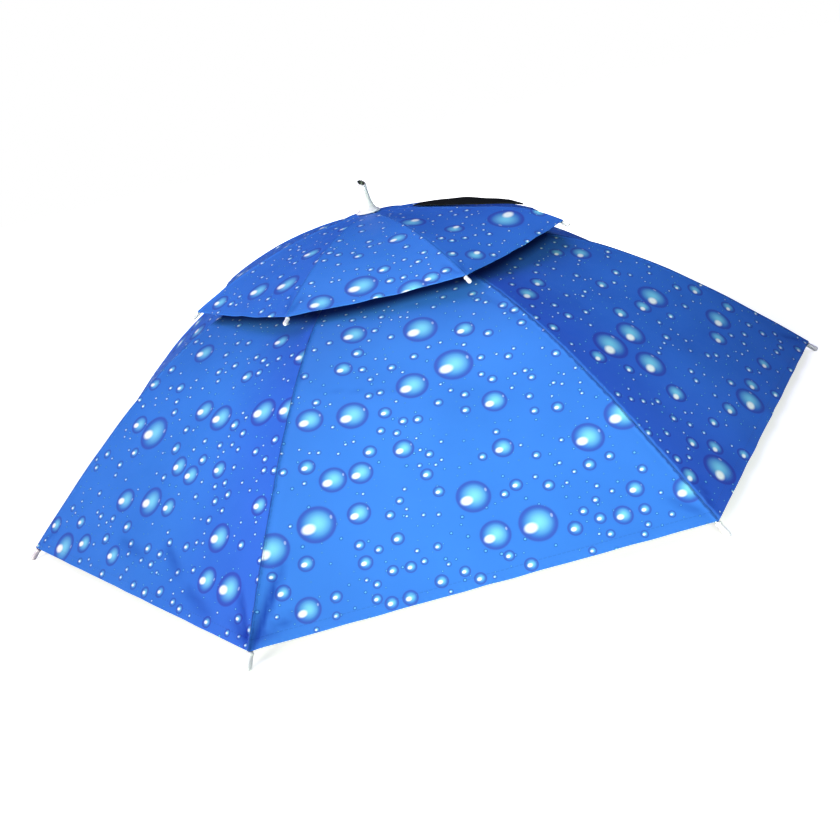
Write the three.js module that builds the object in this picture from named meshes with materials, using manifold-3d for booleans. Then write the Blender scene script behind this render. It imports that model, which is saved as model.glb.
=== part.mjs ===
// An umbrella hat: a wide eight-ribbed canopy, a small second canopy over its open top,
// and a hidden frame with a band for the head. Millimetres, +Z up, standing on its rib tips.
import * as THREE from 'three';
import { mergeVertices } from 'three/addons/utils/BufferGeometryUtils.js';
import Module from 'manifold-3d';

const wasm = await Module();
wasm.setup();

// How close two pieces lie that touch on the real hat
const gap = 0.3;

// Both canopies have the same ribs and panels
const ribCount = 8;
const ribTurn = (2 * Math.PI) / ribCount;
const frontTurn = -Math.PI / 2 - 1.5 * ribTurn;
const clothWall = 1.4;

// The wide canopy
const wideRadius = 385;
const wideRise = 145.7;
const ventRadius = 96;
const wideHollow = 3;
const wideRibRadius = 1.4;
const wideTipRadius = 2.2;
const wideTipLength = 11;
const wideSocketDepth = 6.5;

// The small canopy over the vent
const smallRadius = 185;
const smallRise = 42;
const layerGap = 13.8;
const smallTwist = THREE.MathUtils.degToRad(-6);
const smallHollow = 1;
const smallHemDroop = 2;
const smallRibRadius = 1.1;
const smallTipRadius = 1.8;
const smallTipLength = 7.5;
const smallSocketDepth = 4;

// The post in the middle, with a grooved hub for the long ribs and a collar for the short ones
const postRadius = 6;
const hubRadius = 24;
const grooveDepth = 6;
const hubFlange = 3;
const collarRadius = 14;
const collarHeight = 7;

// The white spike on top
const spikeHeight = 31;
const spikeRadius = 4.5;
const spikeFlangeRadius = 12;
const spikeFlangeHeight = 1.8;
const spikeBoreRadius = 3.1;
const spikeBoreDepth = 7;

// The frame that sits on the head, and its band
const plateRadius = 34;
const plateThickness = 3;
const armCount = 4;
const armWidth = 14;
const armThickness = 2.6;
const bandRadius = 90;
const bandThickness = 2.4;
const bandHeight = 28;
const bandDrop = 104;

// The black strap that ties the folded hat shut, lying beside one short rib
const strapRibIndex = 3;
const strapStart = 46;
const strapMargin = 39;
const strapWidth = 22;
const strapOffset = 4;
const strapThickness = 1.6;
const strapLift = 2;
const strapCurl = 4;

// That rib is bowed up towards its end, and takes the cloth with it: where and how widely are shares
const bowHeight = 7.5;
const bowShare = 0.86;
const bowSpread = 0.25;

// Rise of the wide canopy's ribs: out is a share of its radius, up a share of its rise
const wideProfile = [
  { out: 0, up: 1 },
  { out: 0.2, up: 1 },
  { out: 0.3, up: 0.998 },
  { out: 0.4, up: 0.962 },
  { out: 0.5, up: 0.878 },
  { out: 0.6, up: 0.752 },
  { out: 0.7, up: 0.594 },
  { out: 0.8, up: 0.411 },
  { out: 0.9, up: 0.211 },
  { out: 1, up: 0 },
];

// Broad soft dents in the wide cloth: across and along are shares of a panel, depth of the rise
const softDents = [
  { panel: 0, across: 0.72, along: 0.86, wide: 0.12, long: 0.1, depth: 0.02 },
  { panel: 0, across: 0.35, along: 0.8, wide: 0.16, long: 0.12, depth: 0.014 },
  { panel: 1, across: 0.16, along: 0.92, wide: 0.08, long: 0.09, depth: 0.02 },
  { panel: 1, across: 0.3, along: 0.62, wide: 0.2, long: 0.05, depth: 0.01 },
  { panel: 2, across: 0.2, along: 0.9, wide: 0.1, long: 0.1, depth: 0.016 },
  { panel: 4, across: 0.6, along: 0.84, wide: 0.16, long: 0.12, depth: 0.016 },
  { panel: 6, across: 0.3, along: 0.86, wide: 0.14, long: 0.12, depth: 0.016 },
  { panel: 7, across: 0.72, along: 0.48, wide: 0.3, long: 0.12, depth: 0.09 },
];

// Height of the wide canopy over its hem corners, smooth through the rows of its table
function wideHeight(share) {
  const rows = wideProfile;
  const last = rows.length - 1;
  const at = rows.findIndex((row, i) => i === last - 1 || share <= rows[i + 1].out);
  const slopeAt = (i) => {
    const a = rows[Math.max(i - 1, 0)];
    const b = rows[Math.min(i + 1, last)];
    return (b.up - a.up) / (b.out - a.out);
  };
  const step = rows[at + 1].out - rows[at].out;
  const t = (share - rows[at].out) / step;
  const t2 = t * t;
  const t3 = t2 * t;
  const up = (2 * t3 - 3 * t2 + 1) * rows[at].up + (3 * t2 - 2 * t3) * rows[at + 1].up
    + (t3 - 2 * t2 + t) * step * slopeAt(at) + (t3 - t2) * step * slopeAt(at + 1);
  return wideRise * up;
}

// Height of the small canopy over its own hem corners: a plain parabola
function smallHeight(share) {
  return smallRise * (1 - share * share);
}

// The small canopy's hem corners stand a little above the wide cloth that is under them
const smallLift = wideHeight(smallRadius / wideRadius) + layerGap;

const wide = {
  radius: wideRadius,
  lift: 0,
  turn: frontTurn,
  height: wideHeight,
  inner: ventRadius,
  hollow: wideHollow,
  hemDroop: 0,
  dents: softDents,
  bowedRibIndex: null,
  rows: 12,
  columns: 6,
};

const small = {
  radius: smallRadius,
  lift: smallLift,
  turn: frontTurn + smallTwist,
  height: smallHeight,
  inner: (postRadius + gap) / Math.cos(ribTurn / 2),
  hollow: smallHollow,
  hemDroop: smallHemDroop,
  dents: [],
  bowedRibIndex: strapRibIndex,
  rows: 10,
  columns: 4,
};

// A canopy as one of its ribs shapes it, since the bowed rib stands higher than the others
function alongRib(canopy, index) {
  if (index % ribCount !== canopy.bowedRibIndex) {
    return canopy;
  }
  const bow = (share) => bowHeight * Math.exp(-(((share - bowShare) / bowSpread) ** 2));
  return { ...canopy, height: (share) => canopy.height(share) + bow(share) };
}

// Slope of a rib's line at a share of the radius
function ribSlope(canopy, share) {
  const step = 0.004;
  const low = Math.max(share - step, 0);
  const high = Math.min(share + step, 1);
  return (canopy.height(high) - canopy.height(low)) / ((high - low) * canopy.radius);
}

// Outward direction of the cloth over a rib, in the plane of the rib
function ribNormal(canopy, share) {
  const slope = ribSlope(canopy, share);
  return new THREE.Vector2(-slope, 1).normalize();
}

// A point on a rib's line, moved along the cloth's outward direction
function ribLine(canopy, share, offset) {
  const normal = ribNormal(canopy, share);
  return new THREE.Vector2(
    share * canopy.radius + offset * normal.x,
    canopy.lift + canopy.height(share) + offset * normal.y,
  );
}

function dentDepth(canopy, panel, across, along) {
  const rows = canopy.dents.filter((row) => row.panel === panel);
  return rows.reduce((sum, row) => {
    const x = (across - row.across) / row.wide;
    const y = (along - row.along) / row.long;
    return sum + row.depth * wideRise * Math.exp(-x * x - y * y);
  }, 0);
}

// A point of the cloth: straight between its two ribs, a little hollow in the panel's middle
function clothPoint(canopy, panel, across, along, offset) {
  const turnA = canopy.turn + panel * ribTurn;
  const turnB = turnA + ribTurn;
  const lineA = ribLine(alongRib(canopy, panel), along, offset);
  const lineB = ribLine(alongRib(canopy, panel + 1), along, offset);
  const a = new THREE.Vector3(Math.cos(turnA) * lineA.x, Math.sin(turnA) * lineA.x, lineA.y);
  const b = new THREE.Vector3(Math.cos(turnB) * lineB.x, Math.sin(turnB) * lineB.x, lineB.y);
  const point = a.lerp(b, across);
  const middle = 4 * across * (1 - across);
  const innerShare = canopy.inner / canopy.radius;
  const depth = canopy.hollow * Math.sin(Math.PI * (along - innerShare) / (1 - innerShare))
    + dentDepth(canopy, panel, across, along);
  const turn = (turnA + turnB) / 2;
  const normal = ribNormal(canopy, along);
  point.x -= middle * depth * normal.x * Math.cos(turn);
  point.y -= middle * depth * normal.x * Math.sin(turn);
  point.z -= middle * (depth * normal.y + canopy.hemDroop * along * along);
  return point;
}

// Shared corners, and faces turned outwards
function closedShape(geometry) {
  const bare = geometry.clone();
  for (const name of Object.keys(bare.attributes)) {
    if (name !== 'position') {
      bare.deleteAttribute(name);
    }
  }
  const merged = mergeVertices(bare, 1e-4);
  const place = merged.attributes.position;
  const index = Array.from(merged.index.array);
  const corner = (i) => new THREE.Vector3().fromBufferAttribute(place, i);
  const faces = [];
  let volume = 0;
  for (let i = 0; i < index.length; i += 3) {
    const [a, b, c] = index.slice(i, i + 3);
    if (a !== b && b !== c && c !== a) {
      volume += corner(a).dot(corner(b).cross(corner(c)));
      faces.push([a, b, c]);
    }
  }
  merged.setIndex(faces.flatMap(([a, b, c]) => (volume > 0 ? [a, b, c] : [a, c, b])));
  merged.computeVertexNormals();
  return merged;
}

// A sewn canopy: a ring of panels with an upper and a lower face, closed at the vent and hem
function canopyCloth(canopy) {
  const around = ribCount * canopy.columns;
  const positions = [];
  const innerShare = canopy.inner / canopy.radius;
  for (const offset of [clothWall / 2, -clothWall / 2]) {
    for (let row = 0; row <= canopy.rows; row += 1) {
      const along = innerShare + (1 - innerShare) * (row / canopy.rows);
      for (let column = 0; column < around; column += 1) {
        const panel = Math.floor(column / canopy.columns);
        const across = (column % canopy.columns) / canopy.columns;
        positions.push(...clothPoint(canopy, panel, across, along, offset).toArray());
      }
    }
  }
  const sheet = (canopy.rows + 1) * around;
  const id = (side, row, column) => side * sheet + row * around + (column % around);
  const index = [];
  const quad = (a, b, c, d) => index.push(a, b, c, a, c, d);
  for (let column = 0; column < around; column += 1) {
    const next = column + 1;
    for (let row = 0; row < canopy.rows; row += 1) {
      quad(id(0, row, column), id(0, row + 1, column), id(0, row + 1, next), id(0, row, next));
      quad(id(1, row, column), id(1, row, next), id(1, row + 1, next), id(1, row + 1, column));
    }
    quad(id(0, 0, column), id(0, 0, next), id(1, 0, next), id(1, 0, column));
    const hem = canopy.rows;
    quad(id(0, hem, column), id(1, hem, column), id(1, hem, next), id(0, hem, next));
  }
  const geometry = new THREE.BufferGeometry();
  geometry.setAttribute('position', new THREE.Float32BufferAttribute(positions, 3));
  geometry.setIndex(index);
  return closedShape(geometry);
}

function roundSection(radius, sides) {
  const turns = Array.from({ length: sides }, (_, i) => (2 * Math.PI * i) / sides);
  return new THREE.Shape(turns.map((t) => new THREE.Vector2(radius * Math.cos(t), radius * Math.sin(t))));
}

// Revolves rows of radius and height about the Z axis
function turned(rows, sides) {
  const profile = rows.map(([radius, height]) => new THREE.Vector2(radius, height));
  return closedShape(new THREE.LatheGeometry(profile, sides).rotateX(Math.PI / 2));
}

// The line of a rib's middle, under the cloth and on into the tip's socket
function ribPath(canopy, ribRadius, startRadius, reach) {
  const under = -(clothWall / 2 + gap + ribRadius);
  const startShare = startRadius / canopy.radius;
  const steps = 12;
  const points = [];
  for (let i = 0; i <= steps; i += 1) {
    const share = startShare + (1 - startShare) * (i / steps);
    const line = ribLine(canopy, share, under);
    points.push(new THREE.Vector3(line.x, 0, line.y));
  }
  const out = ribEnd(canopy, ribRadius);
  points.push(new THREE.Vector3(out.at.x + reach * out.way.x, 0, out.at.y + reach * out.way.y));
  return new THREE.CatmullRomCurve3(points, false, 'centripetal');
}

// Where a rib leaves the cloth, and which way it points there
function ribEnd(canopy, ribRadius) {
  const at = ribLine(canopy, 1, -(clothWall / 2 + gap + ribRadius));
  const normal = ribNormal(canopy, 1);
  return { at, way: new THREE.Vector2(normal.y, -normal.x) };
}

function ribShape(canopy, ribRadius, startRadius, reach, steps, sides) {
  const path = ribPath(canopy, ribRadius, startRadius, reach);
  const options = { steps, bevelEnabled: false, extrudePath: path };
  return closedShape(new THREE.ExtrudeGeometry(roundSection(ribRadius, sides), options));
}

// A plastic cap with a round nose and a blind socket for the rib's end
function tipShape(canopy, ribRadius, tipRadius, tipLength, socketDepth) {
  const socket = ribRadius + gap;
  const rows = [[0, socketDepth], [socket, socketDepth], [socket, 0], [tipRadius, 0]];
  const noseRings = 4;
  for (let i = 0; i < noseRings; i += 1) {
    const turn = (Math.PI / 2) * (i / noseRings);
    rows.push([tipRadius * Math.cos(turn), tipLength - tipRadius + tipRadius * Math.sin(turn)]);
  }
  rows.push([0, tipLength]);
  const end = ribEnd(canopy, ribRadius);
  const geometry = turned(rows, 10);
  geometry.translate(0, 0, gap);
  geometry.rotateY(Math.atan2(end.way.x, end.way.y));
  geometry.translate(end.at.x, 0, end.at.y);
  return geometry;
}

const longRibHeight = ribLine(wide, hubRadius / wideRadius, -(clothWall / 2 + gap + wideRibRadius)).y;
const shortRibHeight = ribLine(small, collarRadius / smallRadius, -(clothWall / 2 + gap + smallRibRadius)).y;
const grooveHalf = wideRibRadius + gap;
const hubBottom = longRibHeight - grooveHalf - hubFlange;
const apexTop = smallLift + smallRise + clothWall / 2;

function postShape() {
  const grooveRadius = hubRadius - grooveDepth;
  const collarTop = shortRibHeight + smallRibRadius - gap;
  return turned([
    [0, hubBottom],
    [hubRadius, hubBottom],
    [hubRadius, longRibHeight - grooveHalf],
    [grooveRadius, longRibHeight - grooveHalf],
    [grooveRadius, longRibHeight + grooveHalf],
    [hubRadius, longRibHeight + grooveHalf],
    [hubRadius, longRibHeight + grooveHalf + hubFlange],
    [postRadius, longRibHeight + grooveHalf + hubFlange],
    [postRadius, collarTop - collarHeight],
    [collarRadius, collarTop - collarHeight / 2],
    [collarRadius, collarTop],
    [postRadius, collarTop],
    [postRadius, apexTop],
    [0, apexTop],
  ], 32);
}

// The spike flares into a thin flange, and its open top is a short blind bore
function spikeShape() {
  const bottom = apexTop + gap;
  const flange = spikeFlangeHeight;
  const flare = spikeFlangeRadius - spikeRadius;
  const flareRows = [
    { out: 0.96, up: 0.01 },
    { out: 0.62, up: 0.06 },
    { out: 0.34, up: 0.13 },
    { out: 0.16, up: 0.25 },
    { out: 0.07, up: 0.45 },
    { out: 0, up: 0.93 },
  ];
  const stem = spikeHeight - flange;
  const rows = [[0, 0], [spikeFlangeRadius, 0], [spikeFlangeRadius, flange]];
  for (const row of flareRows) {
    rows.push([spikeRadius + flare * row.out, flange + stem * row.up]);
  }
  const lip = (spikeRadius - spikeBoreRadius) / 2;
  rows.push([spikeRadius - lip, spikeHeight]);
  rows.push([spikeBoreRadius, spikeHeight]);
  rows.push([spikeBoreRadius, spikeHeight - spikeBoreDepth]);
  rows.push([0, spikeHeight - spikeBoreDepth]);
  return turned(rows, 20).translate(0, 0, bottom);
}

function asSolid(geometry) {
  const shape = closedShape(geometry);
  const vertProperties = new Float32Array(shape.attributes.position.array);
  const triVerts = new Uint32Array(shape.index.array);
  return new wasm.Manifold(new wasm.Mesh({ numProp: 3, vertProperties, triVerts }));
}

function asGeometry(solid) {
  const mesh = solid.getMesh();
  const geometry = new THREE.BufferGeometry();
  geometry.setAttribute('position', new THREE.Float32BufferAttribute(mesh.vertProperties, 3));
  geometry.setIndex(Array.from(mesh.triVerts));
  return closedShape(geometry);
}

// A plate under the hub, with arms that arch over the head and end outside the band
function headFrameShape() {
  const plateTop = hubBottom - gap;
  const plateMiddle = plateTop - plateThickness / 2;
  const bandBottom = hubBottom - bandDrop;
  const footRadius = bandRadius + bandThickness + gap + armThickness / 2;
  const arch = footRadius - plateRadius;
  const fall = plateMiddle - (bandBottom + bandHeight);
  const armRows = [
    { out: -0.12, down: 0 },
    { out: 0.1, down: 0.01 },
    { out: 0.4, down: 0.09 },
    { out: 0.68, down: 0.27 },
    { out: 0.88, down: 0.52 },
    { out: 0.98, down: 0.8 },
    { out: 1, down: 1.05 },
  ];
  const points = armRows.map((row) => new THREE.Vector3(
    plateRadius + arch * row.out,
    0,
    plateMiddle - fall * row.down,
  ));
  points.push(new THREE.Vector3(footRadius, 0, bandBottom));
  const path = new THREE.CatmullRomCurve3(points, false, 'centripetal');
  const half = armWidth / 2;
  const side = armThickness / 2;
  const section = new THREE.Shape([
    new THREE.Vector2(-half, -side),
    new THREE.Vector2(half, -side),
    new THREE.Vector2(half, side),
    new THREE.Vector2(-half, side),
  ]);
  const options = { steps: 16, bevelEnabled: false, extrudePath: path };
  const arm = new THREE.ExtrudeGeometry(section, options);
  const plate = turned([
    [0, plateTop - plateThickness],
    [plateRadius, plateTop - plateThickness],
    [plateRadius, plateTop],
    [0, plateTop],
  ], 32);
  let frame = asSolid(plate);
  for (let i = 0; i < armCount; i += 1) {
    frame = frame.add(asSolid(arm.clone().rotateZ((2 * Math.PI * i) / armCount)));
  }
  return asGeometry(frame);
}

function bandShape() {
  const bottom = hubBottom - bandDrop;
  return turned([
    [bandRadius, bottom],
    [bandRadius + bandThickness, bottom],
    [bandRadius + bandThickness, bottom + bandHeight],
    [bandRadius, bottom + bandHeight],
    [bandRadius, bottom],
  ], 48);
}

// Height of the small canopy's upper face at a place in the panel behind the strap's rib
function strapFloor(x, y) {
  const turn = small.turn + strapRibIndex * ribTurn + ribTurn / 2;
  const reach = x * Math.cos(turn) + y * Math.sin(turn);
  const sideways = y * Math.cos(turn) - x * Math.sin(turn);
  const share = reach / (smallRadius * Math.cos(ribTurn / 2));
  const across = 0.5 + sideways / (2 * share * smallRadius * Math.sin(ribTurn / 2));
  const near = alongRib(small, strapRibIndex);
  const height = THREE.MathUtils.lerp(near.height(share), small.height(share), across);
  const slope = ribSlope(near, share);
  const tilt = Math.sqrt(1 + slope * slope);
  return smallLift + height + (clothWall / 2 + gap) * tilt;
}

// A thin strap laid along the rib, its outer end a little loose and its far edge curled up
function strapShape() {
  const turn = small.turn + strapRibIndex * ribTurn;
  const length = smallRadius - strapMargin - strapStart;
  const steps = 14;
  const lanes = 3;
  const positions = [];
  for (const top of [0, 1]) {
    for (let i = 0; i <= steps; i += 1) {
      const share = i / steps;
      const out = strapStart + length * share;
      for (let lane = 0; lane <= lanes; lane += 1) {
        const sideways = strapOffset + strapWidth * (lane / lanes);
        const x = out * Math.cos(turn) - sideways * Math.sin(turn);
        const y = out * Math.sin(turn) + sideways * Math.cos(turn);
        const curl = strapCurl * (lane / lanes) * Math.sin(Math.PI * share);
        const loose = strapLift * share * share + curl;
        positions.push(x, y, strapFloor(x, y) + loose + top * strapThickness);
      }
    }
  }
  const sheet = (steps + 1) * (lanes + 1);
  const id = (side, i, lane) => side * sheet + i * (lanes + 1) + lane;
  const index = [];
  const quad = (a, b, c, d) => index.push(a, b, c, a, c, d);
  for (let i = 0; i < steps; i += 1) {
    for (let lane = 0; lane < lanes; lane += 1) {
      quad(id(1, i, lane), id(1, i + 1, lane), id(1, i + 1, lane + 1), id(1, i, lane + 1));
      quad(id(0, i, lane), id(0, i, lane + 1), id(0, i + 1, lane + 1), id(0, i + 1, lane));
    }
    quad(id(0, i, 0), id(0, i + 1, 0), id(1, i + 1, 0), id(1, i, 0));
    quad(id(0, i, lanes), id(1, i, lanes), id(1, i + 1, lanes), id(0, i + 1, lanes));
  }
  for (let lane = 0; lane < lanes; lane += 1) {
    quad(id(0, 0, lane), id(1, 0, lane), id(1, 0, lane + 1), id(0, 0, lane + 1));
    quad(id(0, steps, lane), id(0, steps, lane + 1), id(1, steps, lane + 1), id(1, steps, lane));
  }
  const geometry = new THREE.BufferGeometry();
  geometry.setAttribute('position', new THREE.Float32BufferAttribute(positions, 3));
  geometry.setIndex(index);
  return closedShape(geometry);
}

const materials = {
  cloth: new THREE.MeshStandardMaterial({ color: 0x1f6fe0, roughness: 0.55, metalness: 0 }),
  steel: new THREE.MeshStandardMaterial({ color: 0xb9bcc0, roughness: 0.3, metalness: 1 }),
  whitePlastic: new THREE.MeshStandardMaterial({ color: 0xf2f3f4, roughness: 0.35, metalness: 0 }),
  blackPlastic: new THREE.MeshStandardMaterial({ color: 0x1b1c1f, roughness: 0.45, metalness: 0 }),
  blackWebbing: new THREE.MeshStandardMaterial({ color: 0x101114, roughness: 0.85, metalness: 0 }),
};

const hat = new THREE.Group();

function addPiece(name, geometry, material, turn = 0) {
  const piece = new THREE.Mesh(geometry, material);
  piece.name = name;
  piece.rotation.z = turn;
  hat.add(piece);
}

function addRibs(canopy, name, ribOf, tipOf) {
  for (let i = 0; i < ribCount; i += 1) {
    const turn = canopy.turn + i * ribTurn;
    const own = alongRib(canopy, i);
    addPiece(`${name}_rib_${i + 1}`, ribOf(own), materials.steel, turn);
    addPiece(`${name}_tip_${i + 1}`, tipOf(own), materials.whitePlastic, turn);
  }
}

addPiece('wide_canopy', canopyCloth(wide), materials.cloth);
addPiece('small_canopy', canopyCloth(small), materials.cloth);
addRibs(
  wide,
  'long',
  (own) => ribShape(own, wideRibRadius, hubRadius - grooveDepth + gap, wideSocketDepth, 16, 8),
  (own) => tipShape(own, wideRibRadius, wideTipRadius, wideTipLength, wideSocketDepth),
);
addRibs(
  small,
  'short',
  (own) => ribShape(own, smallRibRadius, collarRadius + gap, smallSocketDepth, 11, 6),
  (own) => tipShape(own, smallRibRadius, smallTipRadius, smallTipLength, smallSocketDepth),
);
addPiece('centre_post', postShape(), materials.whitePlastic);
addPiece('top_spike', spikeShape(), materials.whitePlastic);
addPiece('head_frame', headFrameShape(), materials.blackPlastic);
addPiece('head_band', bandShape(), materials.blackWebbing);
addPiece('closing_strap', strapShape(), materials.blackWebbing);

// The hat stands on the noses of its long ribs' tips
const extent = new THREE.Box3().setFromObject(hat);
hat.position.z = -extent.min.z;

export default hat;
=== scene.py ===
import bpy
import bmesh
import math
import numpy as np
from mathutils import Matrix


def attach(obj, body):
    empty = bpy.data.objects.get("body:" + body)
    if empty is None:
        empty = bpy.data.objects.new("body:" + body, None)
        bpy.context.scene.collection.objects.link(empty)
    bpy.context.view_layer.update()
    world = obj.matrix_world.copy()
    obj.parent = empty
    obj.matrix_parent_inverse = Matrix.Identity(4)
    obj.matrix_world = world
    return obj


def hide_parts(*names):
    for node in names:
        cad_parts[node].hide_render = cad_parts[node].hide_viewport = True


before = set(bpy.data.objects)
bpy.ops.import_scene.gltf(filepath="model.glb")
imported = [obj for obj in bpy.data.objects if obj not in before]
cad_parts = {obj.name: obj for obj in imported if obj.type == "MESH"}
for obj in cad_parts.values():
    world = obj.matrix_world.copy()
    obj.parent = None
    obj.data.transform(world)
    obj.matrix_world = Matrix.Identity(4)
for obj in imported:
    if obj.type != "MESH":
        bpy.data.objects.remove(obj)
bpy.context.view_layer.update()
print("stage: the frame is loaded")

# Lengths are metres, and the hat stands on the floor at z 0 with its post on the Z axis.
mm = 0.001
ribCount = 8
ribTurn = 2 * math.pi / ribCount
frontTurn = -math.pi / 2 - 1.5 * ribTurn
smallTwist = math.radians(-6)
air = 0.3 * mm                      # what lies between two pieces that touch on the real hat
wall = 1.4 * mm                     # the cloth's room in the frame
hemLift = 9.6834 * mm               # the wide hem's corners stand this high on their caps

wideShape = {
    "radius": 385 * mm, "rise": 145.7 * mm, "inner": 96 * mm, "lift": hemLift, "turn": frontTurn,
    "hollow": 3 * mm, "hemDroop": 0.0, "ribRadius": 1.4 * mm, "bowedRib": None,
    "profile": [(0, 1), (0.2, 1), (0.3, 0.998), (0.4, 0.962), (0.5, 0.878), (0.6, 0.752),
                (0.7, 0.594), (0.8, 0.411), (0.9, 0.211), (1, 0)],
    # panel, across, along, wide, long, depth as a share of the rise
    "dents": [(0, 0.72, 0.86, 0.12, 0.1, 0.02), (0, 0.35, 0.8, 0.16, 0.12, 0.014),
              (1, 0.16, 0.92, 0.08, 0.09, 0.02), (1, 0.3, 0.62, 0.2, 0.05, 0.01),
              (2, 0.2, 0.9, 0.1, 0.1, 0.016), (4, 0.6, 0.84, 0.16, 0.12, 0.016),
              (6, 0.3, 0.86, 0.14, 0.12, 0.016), (7, 0.72, 0.48, 0.3, 0.12, 0.09)],
}
smallShape = {
    "radius": 185 * mm, "rise": 42 * mm, "inner": 6.3 * mm / math.cos(ribTurn / 2),
    "lift": hemLift + 144.6 * mm, "turn": frontTurn + smallTwist,
    "hollow": 1 * mm, "hemDroop": 2 * mm, "ribRadius": 1.1 * mm, "profile": None, "dents": [],
    "bowedRib": 3, "bowHeight": 7.5 * mm, "bowShare": 0.86, "bowSpread": 0.25,
}


# smooth step: 0 below low, 1 above high, and 3t^2 - 2t^3 between them
def ease(low, high, value):
    t = np.clip((value - low) / (high - low), 0, 1)
    return t * t * (3 - 2 * t)


# bell: e to the minus square of the distance from the middle over the width
def bell(value, middle, width):
    return np.exp(-((value - middle) / width) ** 2)


# height of a canopy over its hem corners: cubic pieces through its profile rows, or a parabola
def riseAt(shape, along):
    along = np.asarray(along, float)
    if shape["profile"] is None:
        return shape["rise"] * (1 - along ** 2)
    out, up = np.array(shape["profile"], float).T
    slope = np.empty_like(up)
    slope[1:-1] = (up[2:] - up[:-2]) / (out[2:] - out[:-2])
    slope[0] = (up[1] - up[0]) / (out[1] - out[0])
    slope[-1] = (up[-1] - up[-2]) / (out[-1] - out[-2])
    at = np.clip(np.searchsorted(out, along, side="left") - 1, 0, len(out) - 2)
    step = out[at + 1] - out[at]
    t = (along - out[at]) / step
    high = (2 * t ** 3 - 3 * t ** 2 + 1) * up[at] + (3 * t ** 2 - 2 * t ** 3) * up[at + 1]
    lean = (t ** 3 - 2 * t ** 2 + t) * step * slope[at] + (t ** 3 - t ** 2) * step * slope[at + 1]
    return shape["rise"] * (high + lean)


# height of one rib's line: the bowed rib stands higher than the others by a bell near its end
def ribRise(shape, along, rib):
    rise = riseAt(shape, along)
    if shape["bowedRib"] is None:
        return rise
    bow = shape["bowHeight"] * bell(along, shape["bowShare"], shape["bowSpread"])
    return rise + np.where(np.asarray(rib) % ribCount == shape["bowedRib"], bow, 0)


# slope of a rib's line, as the rise over a short step each way
def slopeAt(shape, along, rib=0):
    low = np.clip(np.asarray(along, float) - 0.004, 0, 1)
    high = np.clip(np.asarray(along, float) + 0.004, 0, 1)
    return (ribRise(shape, high, rib) - ribRise(shape, low, rib)) / ((high - low) * shape["radius"])


# the cloth's outward direction over a rib, as (out, up)
def outwardAt(shape, along, rib=0):
    slope = slopeAt(shape, along, rib)
    size = np.sqrt(1 + slope ** 2)
    return -slope / size, 1 / size


# a rib's line moved along its outward direction, as (distance from the axis, height)
def ribLine(shape, along, offset, rib=0):
    out, up = outwardAt(shape, along, rib)
    height = shape["lift"] + ribRise(shape, along, rib) + offset * up
    return along * shape["radius"] + offset * out, height


# a place on the cloth: straight between two ribs, then sunk by the hollow and the dents times
# 4u(1 - u), against the outward direction
def clothPlace(shape, panel, across, along, offset):
    turnA = shape["turn"] + panel * ribTurn
    turnB = turnA + ribTurn
    held = np.clip(along, 0, 1)
    past = (along - held) * shape["radius"]
    reachA, heightA = ribLine(shape, held, offset, panel)
    reachB, heightB = ribLine(shape, held, offset, panel + 1)
    reachA, reachB = reachA + past, reachB + past
    inner = shape["inner"] / shape["radius"]
    middle = 4 * across * (1 - across)
    depth = shape["hollow"] * np.sin(np.pi * np.clip((along - inner) / (1 - inner), 0, 1))
    for row in shape["dents"]:
        near = np.exp(-((across - row[1]) / row[3]) ** 2 - ((along - row[2]) / row[4]) ** 2)
        depth = depth + np.where(panel == row[0], row[5] * shape["rise"] * near, 0)
    out, up = outwardAt(shape, along)
    turn = (turnA + turnB) / 2
    sink = middle * depth * out
    x = (1 - across) * reachA * np.cos(turnA) + across * reachB * np.cos(turnB) - sink * np.cos(turn)
    y = (1 - across) * reachA * np.sin(turnA) + across * reachB * np.sin(turnB) - sink * np.sin(turn)
    z = (1 - across) * heightA + across * heightB - middle * (depth * up + shape["hemDroop"] * along ** 2)
    return np.stack([x, y, z], -1)


# length of cloth from the hem up to a place along a rib: the sum of short straight steps
def clothLength(shape, along):
    steps = np.linspace(0, 1, 401)
    run = np.diff(steps) * shape["radius"]
    climb = np.diff(riseAt(shape, steps))
    total = np.concatenate([[0], np.cumsum(np.hypot(run, climb))])
    return total[-1] - np.interp(along, steps, total)


# width of a panel between two straight ribs, at a share along them
def panelWidth(shape, along):
    return 2 * along * shape["radius"] * math.sin(ribTurn / 2)


# a place on a flat panel: sideways from its middle line, and up from its hem
def panelPlace(shape, across, along):
    return (across - 0.5) * panelWidth(shape, along), clothLength(shape, along)


# a mesh from whole arrays: places, faces, a material for each face, and the map "surface"
def addMesh(name, places, faces, materials, faceSlots=None, uv=None):
    mesh = bpy.data.meshes.new(name)
    mesh.vertices.add(len(places))
    mesh.vertices.foreach_set("co", np.ascontiguousarray(places, np.float32).ravel())
    sides = faces.shape[1]
    mesh.loops.add(len(faces) * sides)
    mesh.loops.foreach_set("vertex_index", np.ascontiguousarray(faces, np.int32).ravel())
    mesh.polygons.add(len(faces))
    mesh.polygons.foreach_set("loop_start", np.arange(0, len(faces) * sides, sides, dtype=np.int32))
    mesh.polygons.foreach_set("loop_total", np.full(len(faces), sides, np.int32))
    for material in materials:
        mesh.materials.append(material)
    if faceSlots is not None:
        mesh.polygons.foreach_set("material_index", np.ascontiguousarray(faceSlots, np.int32))
    mesh.polygons.foreach_set("use_smooth", np.ones(len(faces), bool))
    mesh.update(calc_edges=True)
    if uv is not None:
        layer = mesh.uv_layers.new(name="surface")
        layer.data.foreach_set("uv", np.ascontiguousarray(uv, np.float32).ravel())
    piece = bpy.data.objects.new(name, mesh)
    bpy.context.scene.collection.objects.link(piece)
    return piece


# every piece rides on the one body and replaces its node
def dress(piece, node):
    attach(piece, "root")
    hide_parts(node)


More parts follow.
